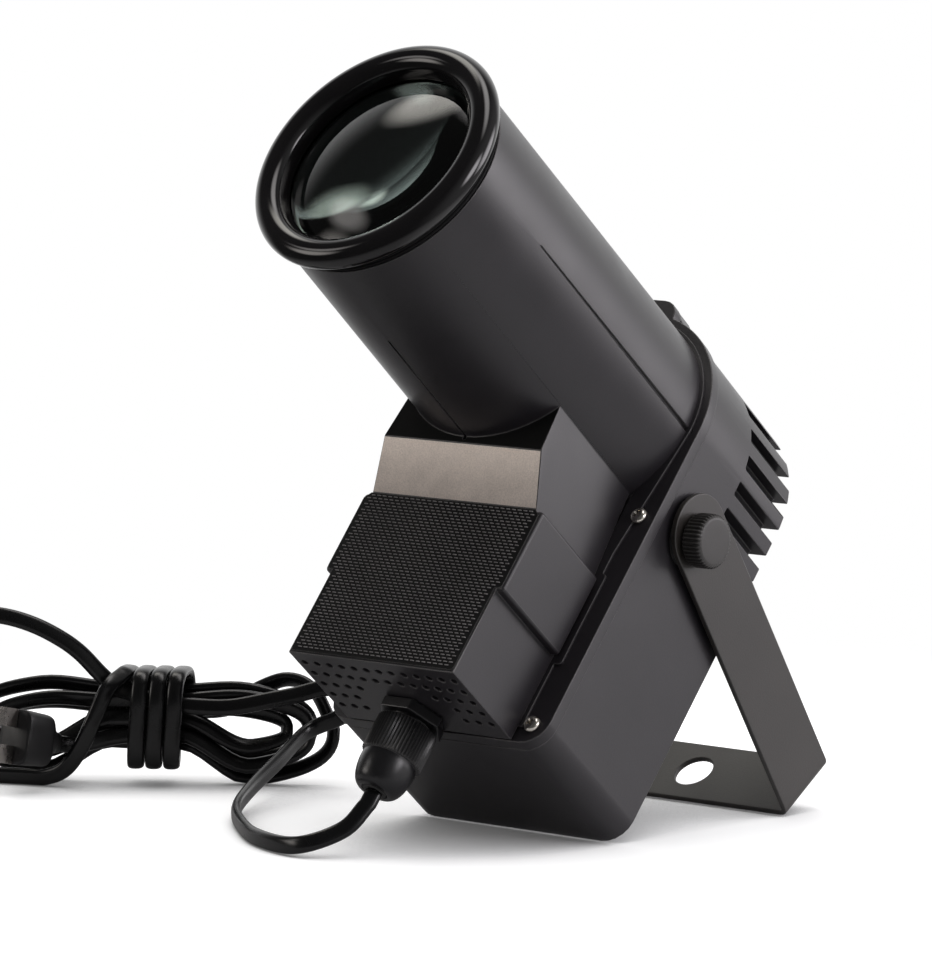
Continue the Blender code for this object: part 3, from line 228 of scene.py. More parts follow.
# Flange screws: across, height and turn of the cross
SCREW_PLACES = {
    "right_middle": (0.0398, -0.0350, 24.0),
    "left_middle": (-0.0398, -0.0350, 71.0),
    "right_bottom": (0.0396, -0.1175, 52.0),
    "left_bottom": (-0.0396, -0.1175, 8.0),
    "top": (0.0, 0.0455, 37.0),
}
SCREW_PROFILE = [
    (0.0, -0.0022), (0.0012, -0.00216), (0.0020, -0.00198), (0.0026, -0.0016), (0.0029, -0.0011),
    (0.0030, -0.0006), (0.0030, -0.0003), (0.0015, -0.0003), (0.0015, 0.0090), (0.0, 0.0100),
]
SCREW_SIDES = 40
# The cross recess at its rim and floor: height, half length and half width of an arm
SCREW_RECESS = ((-0.0027, 0.0017, 0.00036), (-0.0010, 0.0007, 0.00022))

# Thumb knob: radius at its teeth and between them, and distance from its inner face
KNOB_BASE = 0.0489
KNOB_TEETH = 40
KNOB_ROWS = [
    (0.0032, 0.0032, 0.0050), (0.0032, 0.0032, 0.0), (0.0074, 0.0074, 0.0), (0.0084, 0.0080, 0.0004),
    (0.0091, 0.0084, 0.0012), (0.0091, 0.0084, 0.0066), (0.0086, 0.0082, 0.0073), (0.0078, 0.0078, 0.0077),
    (0.0072, 0.0072, 0.0078), (0.0040, 0.0040, 0.0078), (0.0012, 0.0012, 0.0078),
]

# Gland nut: radius, height and rib height down its grip, round its dome and up inside its mouth
NUT_RIBS = 54
NUT_GRIP = [
    (0.0079, -0.1299, 0.0), (0.0095, -0.1299, 0.0), (0.0101, -0.1304, 0.0003), (0.0101, -0.1424, 0.0003),
    (0.0097, -0.1431, 0.0), (0.0093, -0.1434, 0.0), (0.0094, -0.1440, 0.0),
]
NUT_DOME_TOP = -0.1448
NUT_DOME_DEPTH = 0.0102
NUT_DOME_REACH = 0.0049
NUT_DOME_FULLNESS = 0.8
NUT_DOME_STEPS = 12
NUT_MOUTH_RADIUS = 0.0046
NUT_INSIDE = [(0.0043, -0.1545, 0.0), (0.0043, -0.1520, 0.0), (0.0079, -0.1440, 0.0)]

# Materials: how wide the painted edge highlight is, and how far the normals agree where it starts and where
# it is full
EDGE_HIGHLIGHT_WIDTH = 0.00045
EDGE_HIGHLIGHT_TURN = (0.985, 0.90)
EDGE_HIGHLIGHT_PATCHES = (0.3, 0.6, 0.45)
GLOSS_PATCHES = (0.3, 0.7)
GLOSS_SPREAD = 0.04
TONE_PATCHES = (0.7, 1.3)

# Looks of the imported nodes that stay
INNER_LOOKS = {
    # The bore look is near-black painted shade on these inner parts, over their own black
    "bore": ("lens_retainer", "collimator_holder"),
    "rubber": ("yoke_washer_left", "yoke_washer_right", "gland_seal"),
    "steel": ("knob_stud_left", "knob_stud_right", "heat_sink_screw_left", "heat_sink_screw_right",
              "board_screw_1", "board_screw_2", "board_screw_3", "board_screw_4"),
    "brass": ("threaded_insert_left", "threaded_insert_right"),
    "gland": ("gland_locknut",),
    "cord": ("cord_tail",),
    "nickel": ("plug_blade_upper", "plug_blade_lower"),
    "aluminium": ("heat_sink",),
    "ceramic": ("thermal_pad", "led_board"),
    "phosphor": ("led_emitter",),
    "acrylic": ("collimator_lens",),
    "green": ("driver_board",),
    "tape": ("transformer",),
    "terminal": ("terminal_block",),
    "sleeve": ("input_capacitor", "output_capacitor"),
    "red_wire": ("led_wire_red",),
    "black_wire": ("led_wire_black",),
}

# Studio: reflections see a white room behind the object, a pale one to its right and a dim one before it
BACKDROP_WAY = Vector((-0.646, 0.763, 0.0))
RIGHT_WAY = Vector((0.88, 0.47, 0.0))
BACK_EDGE = (0.40, 0.85)
RIGHT_EDGE = (0.10, 0.95)
FLOOR_REACH = (0.28, 0.55)
DIM_ROOM = 0.06
BACK_ROOM = 1.0
RIGHT_ROOM = 0.34
SOFT_LEVEL = 0.28
FLOOR_HALF_SIZE = 6.0
FLOOR_HEIGHT = -0.0002
FLOOR_PAINT = (0.50, 0.50, 0.51, 1.0)
# The floor's contact shadow: how far it looks, its range of open sky and its darkest level
SHADE_REACH = 0.17
SHADE_EDGE = (0.25, 0.86)
SHADE_DARKEST = 0.04
SWEEP_FADE = (0.24, 0.50)
SOFT_BOX_TARGET = Vector((0.0, 0.0, 0.12))
SOFT_BOX_FADE = (0.18, 0.55)
# Way, distance, size, radiance and colour of each
SOFT_BOXES = {
    "right_wall": ((0.68, 0.70, 0.18), 1.6, (1.4, 1.2), 4.8, (1.0, 0.96, 1.0)),
    "right_front": ((0.93, 0.10, 0.30), 1.6, (0.9, 0.9), 6.5, (1.0, 0.96, 1.0)),
    "front_left": ((-0.64, -0.73, 0.22), 1.7, (1.0, 0.70), 3.4, (1.0, 0.95, 0.90)),
    "front_high": ((-0.58, -0.64, 0.50), 1.7, (0.90, 0.40), 2.4, (1.0, 0.96, 0.93)),
    "overhead": ((0.05, 0.12, 1.0), 1.5, (1.7, 0.7), 3.6, (1.0, 0.97, 0.96)),
    "top_left": ((-0.46, 0.12, 0.88), 1.6, (0.80, 0.80), 3.6, (1.0, 0.97, 0.90)),
}

# Camera fitted to the photograph
PHOTO_SIZE = (932, 972)
CAMERA_PLACE = Vector((1.2436, -1.4974, 0.3191))
CAMERA_YAW = math.radians(40.27)
CAMERA_PITCH = math.radians(6.02)
CAMERA_ROLL = math.radians(0.72)
CAMERA_FOCAL_PIXELS = 5943.8
SENSOR_WIDTH = 36.0
CAMERA_CLIP = (0.05, 20.0)

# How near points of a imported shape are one, and how flat a join of its faces is no edge
WELD_DISTANCE = 0.000002
FLAT_ANGLE = math.radians(0.3)


def camera():
    """The photograph's camera, from its yaw, downward pitch, roll and focal length in pixels."""
    level = math.cos(CAMERA_PITCH)
    forward = Vector((-math.sin(CAMERA_YAW) * level, math.cos(CAMERA_YAW) * level, -math.sin(CAMERA_PITCH)))
    right = Vector((math.cos(CAMERA_YAW), math.sin(CAMERA_YAW), 0.0))
    up = right.cross(forward)
    turned_right = right * math.cos(CAMERA_ROLL) + up * math.sin(CAMERA_ROLL)
    turned_up = up * math.cos(CAMERA_ROLL) - right * math.sin(CAMERA_ROLL)
    data = bpy.data.cameras.new("photo_camera")
    data.sensor_fit = "AUTO"
    data.sensor_width = SENSOR_WIDTH
    data.lens = CAMERA_FOCAL_PIXELS / max(PHOTO_SIZE) * SENSOR_WIDTH
    data.clip_start, data.clip_end = CAMERA_CLIP
    eye = bpy.data.objects.new("photo_camera", data)
    axes = Matrix((turned_right, turned_up, -forward)).transposed().to_4x4()
    eye.matrix_world = Matrix.Translation(CAMERA_PLACE) @ axes
    bpy.context.scene.collection.objects.link(eye)
    bpy.context.scene.camera = eye


# Mesh helpers

def add_piece(name, bm, place, look, body, stands_for=(), smooth=35.0):
    """A finished object, built in a local frame and kept in the part's, riding on a body."""
    bmesh.ops.recalc_face_normals(bm, faces=bm.faces)
    mesh = bpy.data.meshes.new(name)
    bm.to_mesh(mesh)
    bm.free()
    mesh.transform(place)
    mesh.shade_smooth()
    mesh.set_sharp_from_angle(angle=math.radians(smooth))
    made = bpy.data.objects.new(name, mesh)
    bpy.context.scene.collection.objects.link(made)
    mesh.materials.append(look)
    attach(made, body)
    if stands_for:
        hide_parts(*stands_for)
    return made


def add_to_lamp(name, bm, look, stands_for=(), smooth=35.0):
    """A piece built in the lamp's own frame and fixed to it."""
    return add_piece(name, bm, LAMP, look, "lamp", stands_for, smooth)


def bake(piece):
    """Replace a piece's mesh by what its modifiers make of it."""
    graph = bpy.context.evaluated_depsgraph_get()
    mesh = bpy.data.meshes.new_from_object(piece.evaluated_get(graph), depsgraph=graph)
    piece.modifiers.clear()
    piece.data = mesh


def cut_away(piece, bm, place):
    """Cut a closed form out of a piece."""
    bmesh.ops.recalc_face_normals(bm, faces=bm.faces)
    mesh = bpy.data.meshes.new("cutter")
    bm.to_mesh(mesh)
    bm.free()
    cutter = bpy.data.objects.new("cutter", mesh)
    bpy.context.scene.collection.objects.link(cutter)
    cutter.matrix_world = place
    step = piece.modifiers.new("cut", "BOOLEAN")
    step.operation = "DIFFERENCE"
    step.solver = "EXACT"
    step.object = cutter
    bake(piece)
    bpy.data.objects.remove(cutter)


def round_edges(piece, width, segments=2, angle=32.0, smooth=50.0):
    """Round the hard edges, as a mould leaves them."""
    step = piece.modifiers.new("rounding", "BEVEL")
    step.width = width
    step.segments = segments
    step.limit_method = "ANGLE"
    step.angle_limit = math.radians(angle)
    step.use_clamp_overlap = False
    step.miter_outer = "MITER_ARC"
    bake(piece)
    piece.data.shade_smooth()
    piece.data.set_sharp_from_angle(angle=math.radians(smooth))
    step = piece.modifiers.new("normals", "WEIGHTED_NORMAL")
    step.keep_sharp = True
    bake(piece)


def copy_of(node, place):
    """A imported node's shape in a local frame, with its flat faces whole again."""
    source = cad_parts[node].data
    bm = bmesh.new()
    bm.from_mesh(source)
    bmesh.ops.remove_doubles(bm, verts=bm.verts, dist=WELD_DISTANCE)
    bmesh.ops.dissolve_limit(bm, angle_limit=FLAT_ANGLE, verts=bm.verts, edges=bm.edges)
    bmesh.ops.transform(bm, matrix=place.inverted(), verts=bm.verts)
    clean = bmesh.new()
    verts = [clean.verts.new(vert.co) for vert in bm.verts]
    bm.verts.index_update()
    for face in bm.faces:
        clean.faces.new([verts[vert.index] for vert in face.verts])
    bm.free()
    return clean


def loft(bm, rings, closed=False, caps=True):
    """Faces through rings of points. Closed joins the last ring to the first, and caps close both ends."""
    skin(bm, [[bm.verts.new(point) for point in ring] for ring in rings], closed, caps)


def skin(bm, rings, closed, caps):
    """Faces between rings of vertices. A vertex that a face would have twice is taken once."""
    following = rings[1:] + rings[:1] if closed else rings[1:]
    for lower, upper in zip(rings, following):
        for i in range(len(lower)):
            j = (i + 1) % len(lower)
            bm.faces.new(tuple(dict.fromkeys((lower[i], lower[j], upper[j], upper[i]))))
    if caps:
        bm.faces.new(rings[0])
        bm.faces.new(rings[-1])


def lathe(profile, sides):
    """Spin a profile of (radius, distance) points about the Y axis. Radius 0 makes a pole."""
    bm = bmesh.new()
    turns = [TAU * i / sides for i in range(sides)]
    rings = []
    for radius, distance in profile:
        if radius == 0.0:
            rings.append([bm.verts.new((0.0, distance, 0.0))] * sides)
        else:
            ring = [(radius * math.cos(turn), distance, radius * math.sin(turn)) for turn in turns]
            rings.append([bm.verts.new(point) for point in ring])
    skin(bm, rings, closed=profile[0][0] != 0.0, caps=False)
    return bm


def on_curve(before, start, stop, after, share):
    """A point on the Catmull-Rom curve from start to stop."""
    bend = 2 * before - 5 * start + 4 * stop - after
    twist = 3 * start - before - 3 * stop + after
    return 0.5 * (2 * start + (stop - before) * share + bend * share * share + twist * share ** 3)


def smooth_sections(sections, steps):
    """A form's sections with extra ones on a smooth curve between them."""
    ends = [Vector(section) for section in (sections[0], *sections, sections[-1])]
    fine = []
    for k in range(1, len(ends) - 2):
        fine += [on_curve(*ends[k - 1:k + 3], s / steps) for s in range(steps)]
    fine.append(ends[-1])
    return fine


def flattened(value, power):
    """A sine or cosine raised to a power with its sign kept, which squares a round section."""
    return math.copysign(abs(value) ** power, value)


def rectangle(half_x, half_y):
    return [(-half_x, -half_y), (half_x, -half_y), (half_x, half_y), (-half_x, half_y)]


def prism(outline, low, high):
    """Extrude a closed outline of (x, z) points from low to high along Y."""
    bm = bmesh.new()
    loft(bm, [[(x, y, z) for x, z in outline] for y in (low, high)])
    return bm


def arc(centre, radius, start, stop, steps):
    """Points on an arc, angles in degrees, both ends included."""
    points = []
    for i in range(steps + 1):
        angle = math.radians(start + (stop - start) * i / steps)
        points.append((centre[0] + radius * math.cos(angle), centre[1] + radius * math.sin(angle)))
    return points


def joined(parts):
    """Several bmeshes as one."""
    whole = bmesh.new()
    for part in parts:
        mesh = bpy.data.meshes.new("joined")
        part.to_mesh(mesh)
        part.free()
        whole.from_mesh(mesh)
        bpy.data.meshes.remove(mesh)
    return whole


# Materials

class Nodes:
    """Adds nodes to the tree of a material, a lamp or the world."""

    def __init__(self, tree):
        self.tree = tree

    def add(self, kind, inputs=None, **settings):
        """A node with its settings. Each input is a socket to link or a constant."""
        node = self.tree.nodes.new(kind)
        for key, value in settings.items():
            setattr(node, key, value)
        for key, value in (inputs or {}).items():
            if isinstance(value, bpy.types.NodeSocket):
                self.tree.links.new(value, node.inputs[key])
            else:
                node.inputs[key].default_value = value
        return node

    def math(self, operation, first, second):
        return self.add("ShaderNodeMath", {0: first, 1: second}, operation=operation).outputs[0]

    def vector(self, operation, *values):
        node = self.add("ShaderNodeVectorMath", dict(enumerate(values)), operation=operation)
        return node.outputs["Value" if operation in ("DOT_PRODUCT", "LENGTH") else "Vector"]

    def noise(self, place, size, detail, roughness=0.5):
        inputs = {"Vector": place, "Scale": 1.0 / size, "Detail": detail, "Roughness": roughness}
        return self.add("ShaderNodeTexNoise", inputs).outputs["Fac"]

    def span(self, value, start, stop, low=0.0, high=1.0, smooth=False):
        """A value mapped from start and stop to low and high."""
        inputs = {"Value": value, "From Min": start, "From Max": stop, "To Min": low, "To Max": high}
        kind = "SMOOTHSTEP" if smooth else "LINEAR"
        return self.add("ShaderNodeMapRange", inputs, interpolation_type=kind).outputs["Result"]

    def seen_in_mirrors(self, path):
        """1 for rays that come by way of a reflection or through glass."""
        return self.math("MAXIMUM", path["Is Glossy Ray"], path["Is Transmission Ray"])


def new_look(name):
    """A material with its shader and its nodes."""
    look = bpy.data.materials.new(name)
    look.use_nodes = True
    return look, look.node_tree.nodes["Principled BSDF"], Nodes(look.node_tree)


def painted_edge_highlight(nodes, cloud, colour, edge):
    """Painted highlight: lighter colour where the surface turns sharply, broken up by the soft patches."""
    bevel = nodes.add("ShaderNodeBevel", {"Radius": EDGE_HIGHLIGHT_WIDTH}, samples=4)
    surface = nodes.add("ShaderNodeNewGeometry")
    turn = nodes.vector("DOT_PRODUCT", bevel.outputs["Normal"], surface.outputs["True Normal"])
    highlight_share = nodes.math("MULTIPLY", nodes.span(turn, *EDGE_HIGHLIGHT_TURN), nodes.span(cloud, *EDGE_HIGHLIGHT_PATCHES))
    highlight_tone = (edge, edge * 0.97, edge * 0.95, 1.0)
    mix = nodes.add("ShaderNodeMix", {"Factor": highlight_share, "A": colour, "B": highlight_tone}, data_type="RGBA")
    return mix.outputs["Result"]


def mottled(name, dark, light, roughness, grain=0.0004, depth=0.00002, metallic=0.0, patch=0.03, sheen=0.0,
            specular=0.5, edge=0.0):
    """Moulded or painted surface: two near tones in soft patches, fine grain in the bump, uneven gloss, and
    with edge a painted highlight along sharp edges.
    """
    look, shader, nodes = new_look(name)
    place = nodes.add("ShaderNodeTexCoord").outputs["Object"]
    cloud = nodes.noise(place, patch, 4.0, 0.6)
    speck = nodes.noise(place, grain, 2.0)
    share = nodes.span(nodes.math("ADD", cloud, speck), *TONE_PATCHES)
    tones = {"Factor": share, "A": (*dark, 1.0), "B": (*light, 1.0)}
    colour = nodes.add("ShaderNodeMix", tones, data_type="RGBA").outputs["Result"]
    # edge is the tone of a painted highlight along sharp edges, standing in for light caught by the rounded
    # edges
    if edge:
        colour = painted_edge_highlight(nodes, cloud, colour, edge)
    gloss = nodes.span(cloud, *GLOSS_PATCHES, roughness - GLOSS_SPREAD, roughness + GLOSS_SPREAD)
    bump = nodes.add("ShaderNodeBump", {"Height": speck, "Strength": 1.0, "Distance": depth})
    nodes.tree.links.new(colour, shader.inputs["Base Color"])
    nodes.tree.links.new(gloss, shader.inputs["Roughness"])
    nodes.tree.links.new(bump.outputs["Normal"], shader.inputs["Normal"])
    shader.inputs["Metallic"].default_value = metallic
    shader.inputs["Sheen Weight"].default_value = sheen
    shader.inputs["Specular IOR Level"].default_value = specular
    return look


def clear(name, colour, roughness, ior):
    """Clear tinted glass or acrylic, with a faint haze where it isn't polished."""
    look, shader, nodes = new_look(name)
    place = nodes.add("ShaderNodeTexCoord").outputs["Object"]
    haze = nodes.add("ShaderNodeTexNoise", {"Vector": place, "Scale": 90.0, "Detail": 3.0}).outputs["Fac"]
    nodes.tree.links.new(nodes.span(haze, 0.0, 1.0, roughness, roughness + 0.01), shader.inputs["Roughness"])
    shader.inputs["Base Color"].default_value = (*colour, 1.0)
    shader.inputs["Transmission Weight"].default_value = 1.0
    shader.inputs["IOR"].default_value = ior
    return look


def make_looks():
    # The edge values paint a highlight along sharp edges, standing in for light caught there
    return {
        "housing": mottled("moulded_black", (0.016, 0.0142, 0.017), (0.024, 0.0215, 0.025), 0.38, edge=0.16),
        # The brow's pale silver colour is painted reflection of a soft box on the black plastic face
        "brow_reflection": mottled("brow_painted_reflection", (0.60, 0.54, 0.50), (0.84, 0.76, 0.70), 0.56, metallic=0.9,
                        grain=0.0005, depth=0.00004, patch=0.012),
        # Panel plate and dashes are one black plastic: the plate's darker tone is painted shade, the dashes'
        # pale tone painted highlight
        "panel_shaded": mottled("panel_black_painted_shade", (0.002, 0.002, 0.0025), (0.004, 0.004, 0.0045), 0.60,
                         specular=0.2, edge=0.12),
        "dash_lit": mottled("panel_dash_painted_highlight", (0.20, 0.19, 0.19), (0.36, 0.345, 0.345), 0.40),
        "bezel": mottled("polished_black", (0.006, 0.0055, 0.006), (0.010, 0.009, 0.010), 0.09,
                         depth=0.0000005),
        # The bore look is darker than the parts' own black plastic and rubber: painted shade on the barrel's
        # inside, lens retainer, collimator holder and gasket
        "bore": mottled("bore_black_painted_shade", (0.004, 0.004, 0.004), (0.008, 0.008, 0.008), 0.75, specular=0.12),
        "yoke": mottled("powder_coat", (0.024, 0.021, 0.019), (0.034, 0.030, 0.027), 0.40,
                        grain=0.0006, depth=0.00003, edge=0.11),
        "knob": mottled("knob_black", (0.022, 0.020, 0.019), (0.032, 0.029, 0.027), 0.42,
                        grain=0.0005, edge=0.12),
        "rubber": mottled("black_rubber", (0.010, 0.010, 0.010), (0.017, 0.017, 0.017), 0.70, sheen=0.1),
        "cord": mottled("cord_jacket", (0.0025, 0.0025, 0.003), (0.005, 0.005, 0.0055), 0.26, grain=0.0008,
                        depth=0.00001),
        "gland": mottled("gland_nylon", (0.008, 0.0078, 0.009), (0.014, 0.0135, 0.015), 0.28, edge=0.06),
        "plug": mottled("plug_black", (0.008, 0.008, 0.009), (0.014, 0.013, 0.014), 0.40),
        "chrome": mottled("screw_chrome", (0.74, 0.70, 0.63), (0.90, 0.86, 0.79), 0.20,
                          metallic=1.0, depth=0.000003),
        "steel": mottled("stud_steel", (0.45, 0.45, 0.46), (0.58, 0.58, 0.59), 0.30, metallic=1.0),
        "brass": mottled("insert_brass", (0.58, 0.42, 0.18), (0.72, 0.54, 0.26), 0.30, metallic=1.0),
        "nickel": mottled("blade_nickel", (0.48, 0.45, 0.42), (0.62, 0.58, 0.54), 0.28,
                          metallic=1.0, patch=0.006),
        "aluminium": mottled("sink_aluminium", (0.50, 0.51, 0.53), (0.64, 0.65, 0.67), 0.38, metallic=1.0),
        "ceramic": mottled("white_ceramic", (0.66, 0.66, 0.63), (0.78, 0.78, 0.75), 0.50),
        "phosphor": mottled("led_phosphor", (0.70, 0.56, 0.08), (0.85, 0.70, 0.14), 0.45),
        "green": mottled("board_green", (0.02, 0.12, 0.06), (0.03, 0.17, 0.08), 0.45),
        "tape": mottled("transformer_tape", (0.58, 0.40, 0.08), (0.70, 0.50, 0.10), 0.50),
        "terminal": mottled("terminal_green", (0.04, 0.24, 0.10), (0.06, 0.32, 0.13), 0.45),
        "sleeve": mottled("capacitor_sleeve", (0.015, 0.015, 0.02), (0.025, 0.025, 0.03), 0.30),
        "red_wire": mottled("wire_red", (0.40, 0.02, 0.01), (0.50, 0.03, 0.02), 0.40),
        "black_wire": mottled("wire_black", (0.015, 0.015, 0.015), (0.022, 0.022, 0.022), 0.40),
        "glass": clear("lens_glass", (0.76, 0.93, 0.88), 0.0, 1.50),
        "acrylic": clear("clear_acrylic", (0.94, 0.95, 0.96), 0.01, 1.49),
    }


# Cord

def smooth_route(route, count):
    """Points at even steps along a smooth curve through the route."""
    ends = [2 * Vector(route[0]) - Vector(route[1])]
    ends += [Vector(p) for p in route]
    ends += [2 * Vector(route[-1]) - Vector(route[-2])]
    fine = []
    for k in range(1, len(ends) - 2):
        fine += [on_curve(*ends[k - 1:k + 3], s / CURVE_STEPS) for s in range(CURVE_STEPS)]
    fine.append(ends[-2])
    lengths = [0.0]
    for a, b in zip(fine, fine[1:]):
        lengths.append(lengths[-1] + (b - a).length)
    points = []
    k = 0
    for i in range(count):
        goal = lengths[-1] * i / (count - 1)
        while k < len(fine) - 2 and lengths[k + 1] < goal:
            k += 1
        part = (goal - lengths[k]) / max(lengths[k + 1] - lengths[k], 1e-9)
        points.append(fine[k].lerp(fine[k + 1], min(part, 1.0)))
    return points


def smoothstep(value):
    value = min(max(value, 0.0), 1.0)
    return value * value * (3.0 - 2.0 * value)


def hank_place(point):
    """From the hank's own frame to the part's."""
    return HANK_CENTRE + HANK_LENGTHWAYS * point[0] + HANK_ACROSS * point[1] + Vector((0.0, 0.0, point[2]))


def hank_loop(turn):
    """Nested flat loops that spiral in, change layer and spiral out, drawn in at the waist."""
    level = min(turn, HANK_TURNS - turn)
    angle = TAU * turn
    along = (HANK_HALF_LENGTH - HANK_LENGTH_STEP * level) * math.cos(angle)
    spread = smoothstep((abs(along) - HANK_WAIST_HALF_LENGTH) / HANK_FLARE)
    waist = HANK_WAIST_HEIGHT - HANK_WAIST_STEP * level
    end = HANK_END_HEIGHT - HANK_END_STEP * level
    height = waist * (1.0 - spread) + end * spread
    up = -flattened(math.sin(angle), HANK_FULLNESS) * height
    layer = smoothstep((turn - HANK_TURNS / 2 + HANK_CLIMB) / (2 * HANK_CLIMB))
    return Vector((HANK_MIDDLE + along, HANK_LAYER_STEP * (layer - 0.5), up + HANK_RISE * (1.0 - spread)))


def hank_wrap(turn):
    """The wraps round the waist: a helix on a rounded rectangle."""
    angle = TAU * turn
    across = math.cos(angle)
    up = math.sin(angle)
    size = (abs(across) ** WRAP_SQUARENESS + abs(up) ** WRAP_SQUARENESS) ** (-1.0 / WRAP_SQUARENESS)
    return Vector((
        WRAP_START + WRAP_PITCH * turn,
        WRAP_MIDDLE[0] + WRAP_HALF[0] * size * across,
        WRAP_MIDDLE[1] + WRAP_HALF[1] * size * up,
    ))


def plug_axes():
    """The plug's own directions in the hank's frame: along it to its blades, to its side, and up."""
    level = math.cos(PLUG_RISE)
    along = Vector((-math.cos(PLUG_TURN) * level, math.sin(PLUG_TURN) * level, math.sin(PLUG_RISE)))
    side = Vector((math.sin(PLUG_TURN), math.cos(PLUG_TURN), 0.0))
    return along, side, side.cross(along)


def plug_place(point):
    """From the plug's own frame to the part's."""
    along, side, up = plug_axes()
    return hank_place(Vector(PLUG_REAR) + along * point[0] + side * point[1] + up * point[2])


def facing_ways(points, lean, waves=0.0):
    """The way the cord's width lies at each point: in the hank's upright plane, leaning out of it.

    The lean has a middle and a change, which grows along the stretch or comes and goes in waves.
    """
    across = Vector((0.0, 1.0, 0.0))
    ways = []
    for i in range(len(points)):
        tangent = points[min(i + 1, len(points) - 1)] - points[max(i - 1, 0)]
        flat = Vector((tangent.x, 0.0, tangent.z)).normalized().cross(across)
        share = i / len(points)
        change = math.cos(TAU * waves * share) if waves else share
        angle = math.radians(lean[0] + lean[1] * change)
        ways.append(flat * math.cos(angle) + across * math.sin(angle))
    return ways


def hank_route():
    """The wound cord's centreline in the hank's own frame, each point with the way its width lies."""
    lengthways = Vector((-1.0, 0.0, 0.0))
    along, side, up = plug_axes()
    wrap_count = round((WRAP_LAST_TURN - WRAP_FIRST_TURN) * WRAP_POINTS)
    wraps = [hank_wrap(WRAP_FIRST_TURN + i / WRAP_POINTS) for i in range(wrap_count + 1)]
    loops = [hank_loop(i / LOOP_POINTS) for i in range(int(LOOP_POINTS * HANK_LAST_TURN) + 1)]
    straight = HANK_START + HANK_START_RUN * CORD_STUB
    stray = [HANK_START] + smooth_route([straight] + STRAY_LOOP + [wraps[0]], STRAY_POINTS)[:-1]
    route = []
    for i, (point, way) in enumerate(zip(stray, facing_ways(stray, STRAY_LEAN))):
        route.append((point, way.lerp(lengthways, smoothstep(1.0 + (i / len(stray) - 1.0) / STRAY_END_TURN))))
    route += [(point, lengthways) for point in wraps]
    link = smooth_route([wraps[-1]] + WRAP_LINK + [loops[0]], LINK_POINTS)[1:-1]
    for i, (point, way) in enumerate(zip(link, facing_ways(link, LINK_LEAN))):
        route.append((point, lengthways.lerp(way, smoothstep(i / len(link) / LINK_START_TURN))))
    route += list(zip(loops, facing_ways(loops, LOOP_LEAN, 2 * HANK_LAST_TURN)))
    square = Vector(PLUG_REAR) - along * CORD_STUB
    run = smooth_route([loops[-1]] + PLUG_RUN + [square], PLUG_RUN_POINTS)[1:]
    first = route[-1][1]
    last = -up if first.dot(up) < 0.0 else up
    for i, point in enumerate(run):
        route.append((point, first.lerp(last, smoothstep(i / len(run)))))
    route.append((Vector(PLUG_REAR), route[-1][1]))
    return route


def flat_tube(name, points, wide, look, stands_for):
    """A flat oval cord along points. Each wide vector says which way its width lies."""
    bm = bmesh.new()
    rings = []
    last = None
    for i, point in enumerate(points):
        tangent = (points[min(i + 1, len(points) - 1)] - points[max(i - 1, 0)]).normalized()
        width = wide[i] - tangent * wide[i].dot(tangent)
        if width.length < 0.25 and last is not None:
            width = last - tangent * last.dot(tangent)
        width.normalize()
        if last is not None:
            if width.dot(last) < 0.0:
                width = -width
            width = width * (1.0 - CORD_STEADINESS) + last * CORD_STEADINESS
            width = (width - tangent * width.dot(tangent)).normalized()
        last = width
        thick = tangent.cross(width)
        ring = []
        for s in range(CORD_SIDES):
            angle = TAU * s / CORD_SIDES
            across = flattened(math.cos(angle), CORD_SQUARENESS[0]) * CORD_WIDTH / 2
            out = flattened(math.sin(angle), CORD_SQUARENESS[1]) * CORD_THICKNESS / 2
            ring.append(point + width * across + thick * out)
        sunk = min(min(corner.z for corner in ring), 0.0)
        rings.append([corner - Vector((0.0, 0.0, sunk)) for corner in ring])
    loft(bm, rings)
    return add_piece(name, bm, Matrix.Identity(4), look, "lamp", stands_for, 60.0)


def build_cords(looks):
    """The free lead from the gland, the wound hank, and the plug on its end."""
    route = hank_route()
    wound = [hank_place(point) for point, way in route]
    origin = hank_place(Vector((0.0, 0.0, 0.0)))
    facing = [hank_place(way) - origin for point, way in route]
    ends = [LAMP @ Vector((0.0, GLAND_Y, GLAND_MOUTH - drop)) for drop in (0.0, CORD_STUB)]
    square = hank_place(HANK_START - HANK_START_RUN * CORD_STUB)
    floor_points = [Vector(point) + Vector((0.0, FOOTPRINT_SHIFT, 0.0)) for point in LEAD_ROUTE]
    path = [ends[1]] + floor_points + [hank_place(point) for point in LEAD_TURN] + [square]
    lead = [ends[0]] + smooth_route(path, LEAD_POINTS) + [wound[0]]
    down = Vector((0.0, 0.0, -1.0))
    joining = facing[0] if facing[0].dot(down) > 0.0 else -facing[0]
    wide = []
    for i in range(len(lead)):
        share = smoothstep(i / len(lead) / LEAD_START_TURN)
        ending = smoothstep(1.0 + (i / len(lead) - 1.0) / LEAD_END_TURN)
        wide.append(LEAD_START_WAY.lerp(down, share).lerp(joining, ending))
    first = flat_tube("flat_lead", lead, wide, looks["cord"], ["cord_lead"])
    second = flat_tube("flat_hank", wound, facing, looks["cord"], ["cord_hank"])
    body = build_plug(looks)


